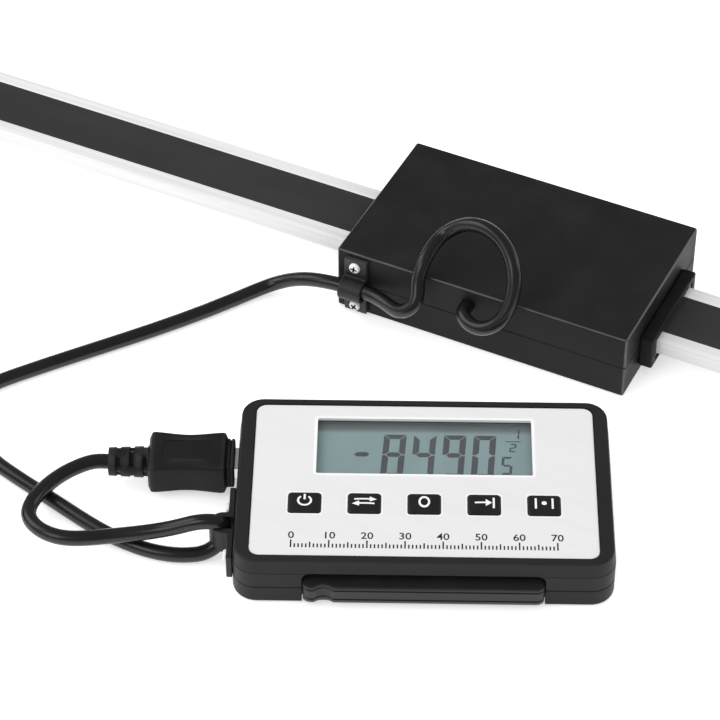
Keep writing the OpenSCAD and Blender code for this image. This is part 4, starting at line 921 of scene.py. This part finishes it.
# ---- Keys ----
# Moulded silicone keys with a domed top, a bowed far edge and a stop flange under the plate, each
# printed with a plain white sign: power, swap, ring, arrow to a stop, and a dot between bars.
KEY_TOP, DOME_R = 16.2, 28.0
KEY_FOOT, FLANGE_TOP = 12.2, 12.99
FLANGE_HALF = (5.15, 4.65)
INK_RISE = 0.03
KEY_EDGE = ((0.0, 0.42), (0.04, 0.3), (0.16, 0.14), (0.4, 0.03), (0.8, 0.0), (1.6, 0.0), (2.6, 0.0),
            (3.5, 0.0))  # inset from the key's side, and fall below its dome
key_rubber = surface("key_rubber", (0.012, 0.012, 0.012), 0.42, spec=0.3, grain=2600.0,
                     relief=0.00002, tone=0.1, cloud=200.0)


def dome(x, y):
    """Height of a key's domed top."""
    return KEY_TOP - (DOME_R - math.sqrt(DOME_R * DOME_R - x * x - y * y))


def ringed(r0, r1, a0, a1, n=28):
    """Corner points of a ring sector, as quads."""
    turns = [a0 + (a1 - a0) * k / n for k in range(n + 1)]
    a, b = round_points(0, 0, r0, turns), round_points(0, 0, r1, turns)
    return [[a[k], b[k], b[k + 1], a[k + 1]] for k in range(n)]


def bar(x0, y0, x1, y1, n=8):
    """A printed bar in short pieces, so that it follows the dome."""
    if x1 - x0 > y1 - y0:
        cuts = [x0 + (x1 - x0) * k / n for k in range(n + 1)]
        return [[(a, y0), (b, y0), (b, y1), (a, y1)] for a, b in zip(cuts, cuts[1:])]
    cuts = [y0 + (y1 - y0) * k / n for k in range(n + 1)]
    return [[(x0, a), (x1, a), (x1, b), (x0, b)] for a, b in zip(cuts, cuts[1:])]


SIGNS = (ringed(1.45, 2.0, 125, 415) + bar(-0.28, 0.3, 0.28, 2.35),
         bar(-2.7, 0.5, 1.5, 1.05) + [[(1.4, -0.15), (3.3, 0.77), (1.4, 1.7)]]
         + bar(-1.5, -1.05, 2.7, -0.5) + [[(-1.4, -1.7), (-1.4, 0.15), (-3.3, -0.77)]],
         [[(u, v * 1.35) for u, v in quad] for quad in ringed(1.0, 1.55, 0, 360)],
         bar(-2.5, -0.28, 0.6, 0.28) + [[(0.4, -1.25), (2.1, 0.0), (0.4, 1.25)]]
         + bar(2.25, -1.9, 2.8, 1.9),
         bar(-2.5, -1.9, -1.95, 1.9) + bar(1.95, -1.9, 2.5, 1.9) + ringed(0.0, 0.7, 0, 360, 16))
for i, (kx, sign) in enumerate(zip(KEYS_X, SIGNS)):
    rings = [[(kx + x, KEY_Y + y, KEY_FOOT) for x, y in key_outline(0.0)]]
    rings += [[(kx + x, KEY_Y + y, dome(x, y) - fall) for x, y in key_outline(-inset)]
              for inset, fall in KEY_EDGE]
    flange = block(kx - FLANGE_HALF[0], kx + FLANGE_HALF[0], KEY_Y - FLANGE_HALF[1], KEY_Y + FLANGE_HALF[1],
                   KEY_FOOT, FLANGE_TOP)
    key_body = "key_%d_body" % (i + 1)
    key = solid(carve(loft(rings), [flange], how="UNION"), "key_cap_%d" % (i + 1), key_rubber,
                body=key_body, place=IN_DISPLAY, crease=40.0)
    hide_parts("key_%d" % (i + 1))
    mark = bmesh.new()
    for corners in sign:
        patch(mark, [(kx + x, KEY_Y + y, dome(x, y) + INK_RISE) for x, y in dict.fromkeys(corners)])
    solid(mark, "key_sign_%d" % (i + 1), white_ink, body=key_body, place=IN_DISPLAY, printed=True)

# ---- Front flap ----
# A moulded bar in brown-black plastic, hinged along its foot on two pins. It has two lengthwise
# grooves, rounded ends and a thumb notch near its left end. Its section is seen from the side,
# with the hinge at y = 0.
FLAP_DEEP, FLAP_TOP, FLAP_FOOT_R, FLAP_TOP_R = 3.4, 8.3, 1.8, 0.5
FLAP_END_R = 2.2
NOTCH_X, NOTCH_R, NOTCH_OUT = -26.25, 3.2, 2.0  # the notch's middle lies outside the flap's face
FLAP_LEAST = 0.6
PINCH, PINCH_L = 0.35, 0.9  # how the ends draw in above and below
section = round_points(FLAP_TOP_R - FLAP_DEEP, FLAP_TOP - FLAP_TOP_R, FLAP_TOP_R, (180, 150, 120, 90))
section += [(0.0, FLAP_TOP), (1.35, FLAP_TOP), (1.68, 8.16), (FLAP_FOOT_R, 7.85)]
section += round_points(0, HINGE_Z, FLAP_FOOT_R, (0, -20, -40, -60, -80))
section += [(-0.6, 1.4), (-1.4, 1.35), (-2.2, 1.6), (-2.75, 2.1), (-3.15, 2.75), (-3.38, 3.45)]
for z in (4.0, 7.2):
    section += [(-FLAP_DEEP, z - 0.3), (-3.1, z - 0.16), (-3.1, z + 0.16), (-FLAP_DEEP, z + 0.3)]
flap_end = FLAP_L / 2
stations = [-flap_end + FLAP_END_R * (1 - math.cos(math.radians(a))) for a in range(0, 91, 10)]
stations += [-29.0 + 0.32 * k for k in range(18)] + [-22.5, -10.0, 5.0, 20.0]
stations += [flap_end - FLAP_END_R * (1 - math.cos(math.radians(a))) for a in range(90, -1, -10)]
rings = []
for x in sorted(set(round(x, 4) for x in stations)):
    end = min(x + flap_end, flap_end - x)
    short = FLAP_END_R - min(end, FLAP_END_R)
    plan = FLAP_DEEP - (FLAP_END_R - math.sqrt(max(0.0, FLAP_END_R ** 2 - short ** 2)))
    nick = max(0.0, math.sqrt(max(0.0, NOTCH_R ** 2 - (x - NOTCH_X) ** 2)) - NOTCH_OUT)
    depth = max(FLAP_LEAST, plan - nick)
    pinch = PINCH * max(0.0, 1.0 - end / PINCH_L) ** 2
    rings.append([(x, HINGE_Y + (y * depth / FLAP_DEEP if y < 0 else y),
                   max(1.2 + pinch, min(FLAP_TOP - pinch, z))) for y, z in section])
flap = carve(loft(rings), [rod(PIN_D + FIT, (32.5 * s, HINGE_Y, HINGE_Z),
                               (28.5 * s, HINGE_Y, HINGE_Z), n=20) for s in (-1, 1)])
# Its edge colour is a painted highlight on the flap's sharp edges.
flap_brown = surface("flap_brown", (0.022, 0.0205, 0.0205), 0.4, spec=0.26, grain=2600.0, cloud=110.0,
                     edge=(0.06, 0.056, 0.056))
lid = solid(flap, "front_flap_bar", flap_brown, body="flap_body", place=IN_DISPLAY, crease=30.0)
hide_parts("front_flap")

# ---- Socket and plug ----
# The cable ends in a small plug moulded over it: a grooved nose, a waisted grip with a sunk oval
# on its top, and a slotted strain relief. Its steel shell goes into the socket in the display's
# left side.
PLUG_Y, PLUG_Z = 13.3, 7.4
GRIP_X, GRIP_L, GRIP_W, GRIP_H, GRIP_R = -64.3, 21.4, 14.8, 10.2, 1.3
WAIST_W, WAIST_H = 0.85, 0.15  # how far the grip draws in on each side
GRIP_RINGS = 32
END_ROLL = 1.8  # how deep the grip's ends roll in, for each millimetre of their round edge
OVAL_L, OVAL_W, OVAL_R = 14.4, 7.4, 2.6
OVAL_FLOOR, OVAL_RIM = (0.96, 12.25), (1.02, 12.8)  # share of its size, and height
NOSE = (-54.4, -51.6, 7.65, 18.95, 3.4, 11.4)
GROOVE_X = (-52.95, -52.5)
GROOVE_SIDES = ((7.2, 8.0), (18.6, 19.4))
socket_black = surface("socket_black", (0.02, 0.02, 0.02), 0.5, spec=0.3, grain=3000.0, relief=0.00002)
# Its edge colour is a painted highlight on the plug's sharp edges.
overmould = surface("overmould", (0.0115, 0.0115, 0.0122), 0.5, spec=0.2, grain=3000.0, cloud=150.0,
                    edge=(0.05, 0.05, 0.052))
coat(socket_black, "data_socket")
coat(nickel, "plug_shell")
coat(overmould, "strain_relief")
rings = []
for k in range(GRIP_RINGS + 1):
    off = GRIP_L * (k / GRIP_RINGS - 0.5)
    bulge = 1 + math.cos(2 * math.pi * off / GRIP_L)
    close = min(1.0, max(0.0, abs(off) - (GRIP_L / 2 - GRIP_R)) / GRIP_R)
    drop = GRIP_R * (1 - math.sqrt(1 - close ** 2)) * END_ROLL
    rings.append([(GRIP_X + off, PLUG_Y + y, PLUG_Z + z) for y, z in outline(
        GRIP_W - WAIST_W * bulge - drop, GRIP_H - WAIST_H * bulge - drop, GRIP_R, 5)])
oval = loft([[(GRIP_X + u * k, PLUG_Y + v * k, z) for u, v in outline(OVAL_L, OVAL_W, OVAL_R)]
             for k, z in (OVAL_FLOOR, OVAL_RIM)])
grip = carve(loft(rings), [oval])
grip = carve(grip, [block(*NOSE, soft=0.5, steps=3)], how="UNION")
grip = carve(grip, [block(*GROOVE_X, 7.2, 19.4, 10.9, 12)]
             + [block(*GROOVE_X, *side, 3.0, 11.8) for side in GROOVE_SIDES])
plug = solid(grip, "plug_overmould", overmould, place=IN_DISPLAY, crease=35.0)
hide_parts("plug_grip")
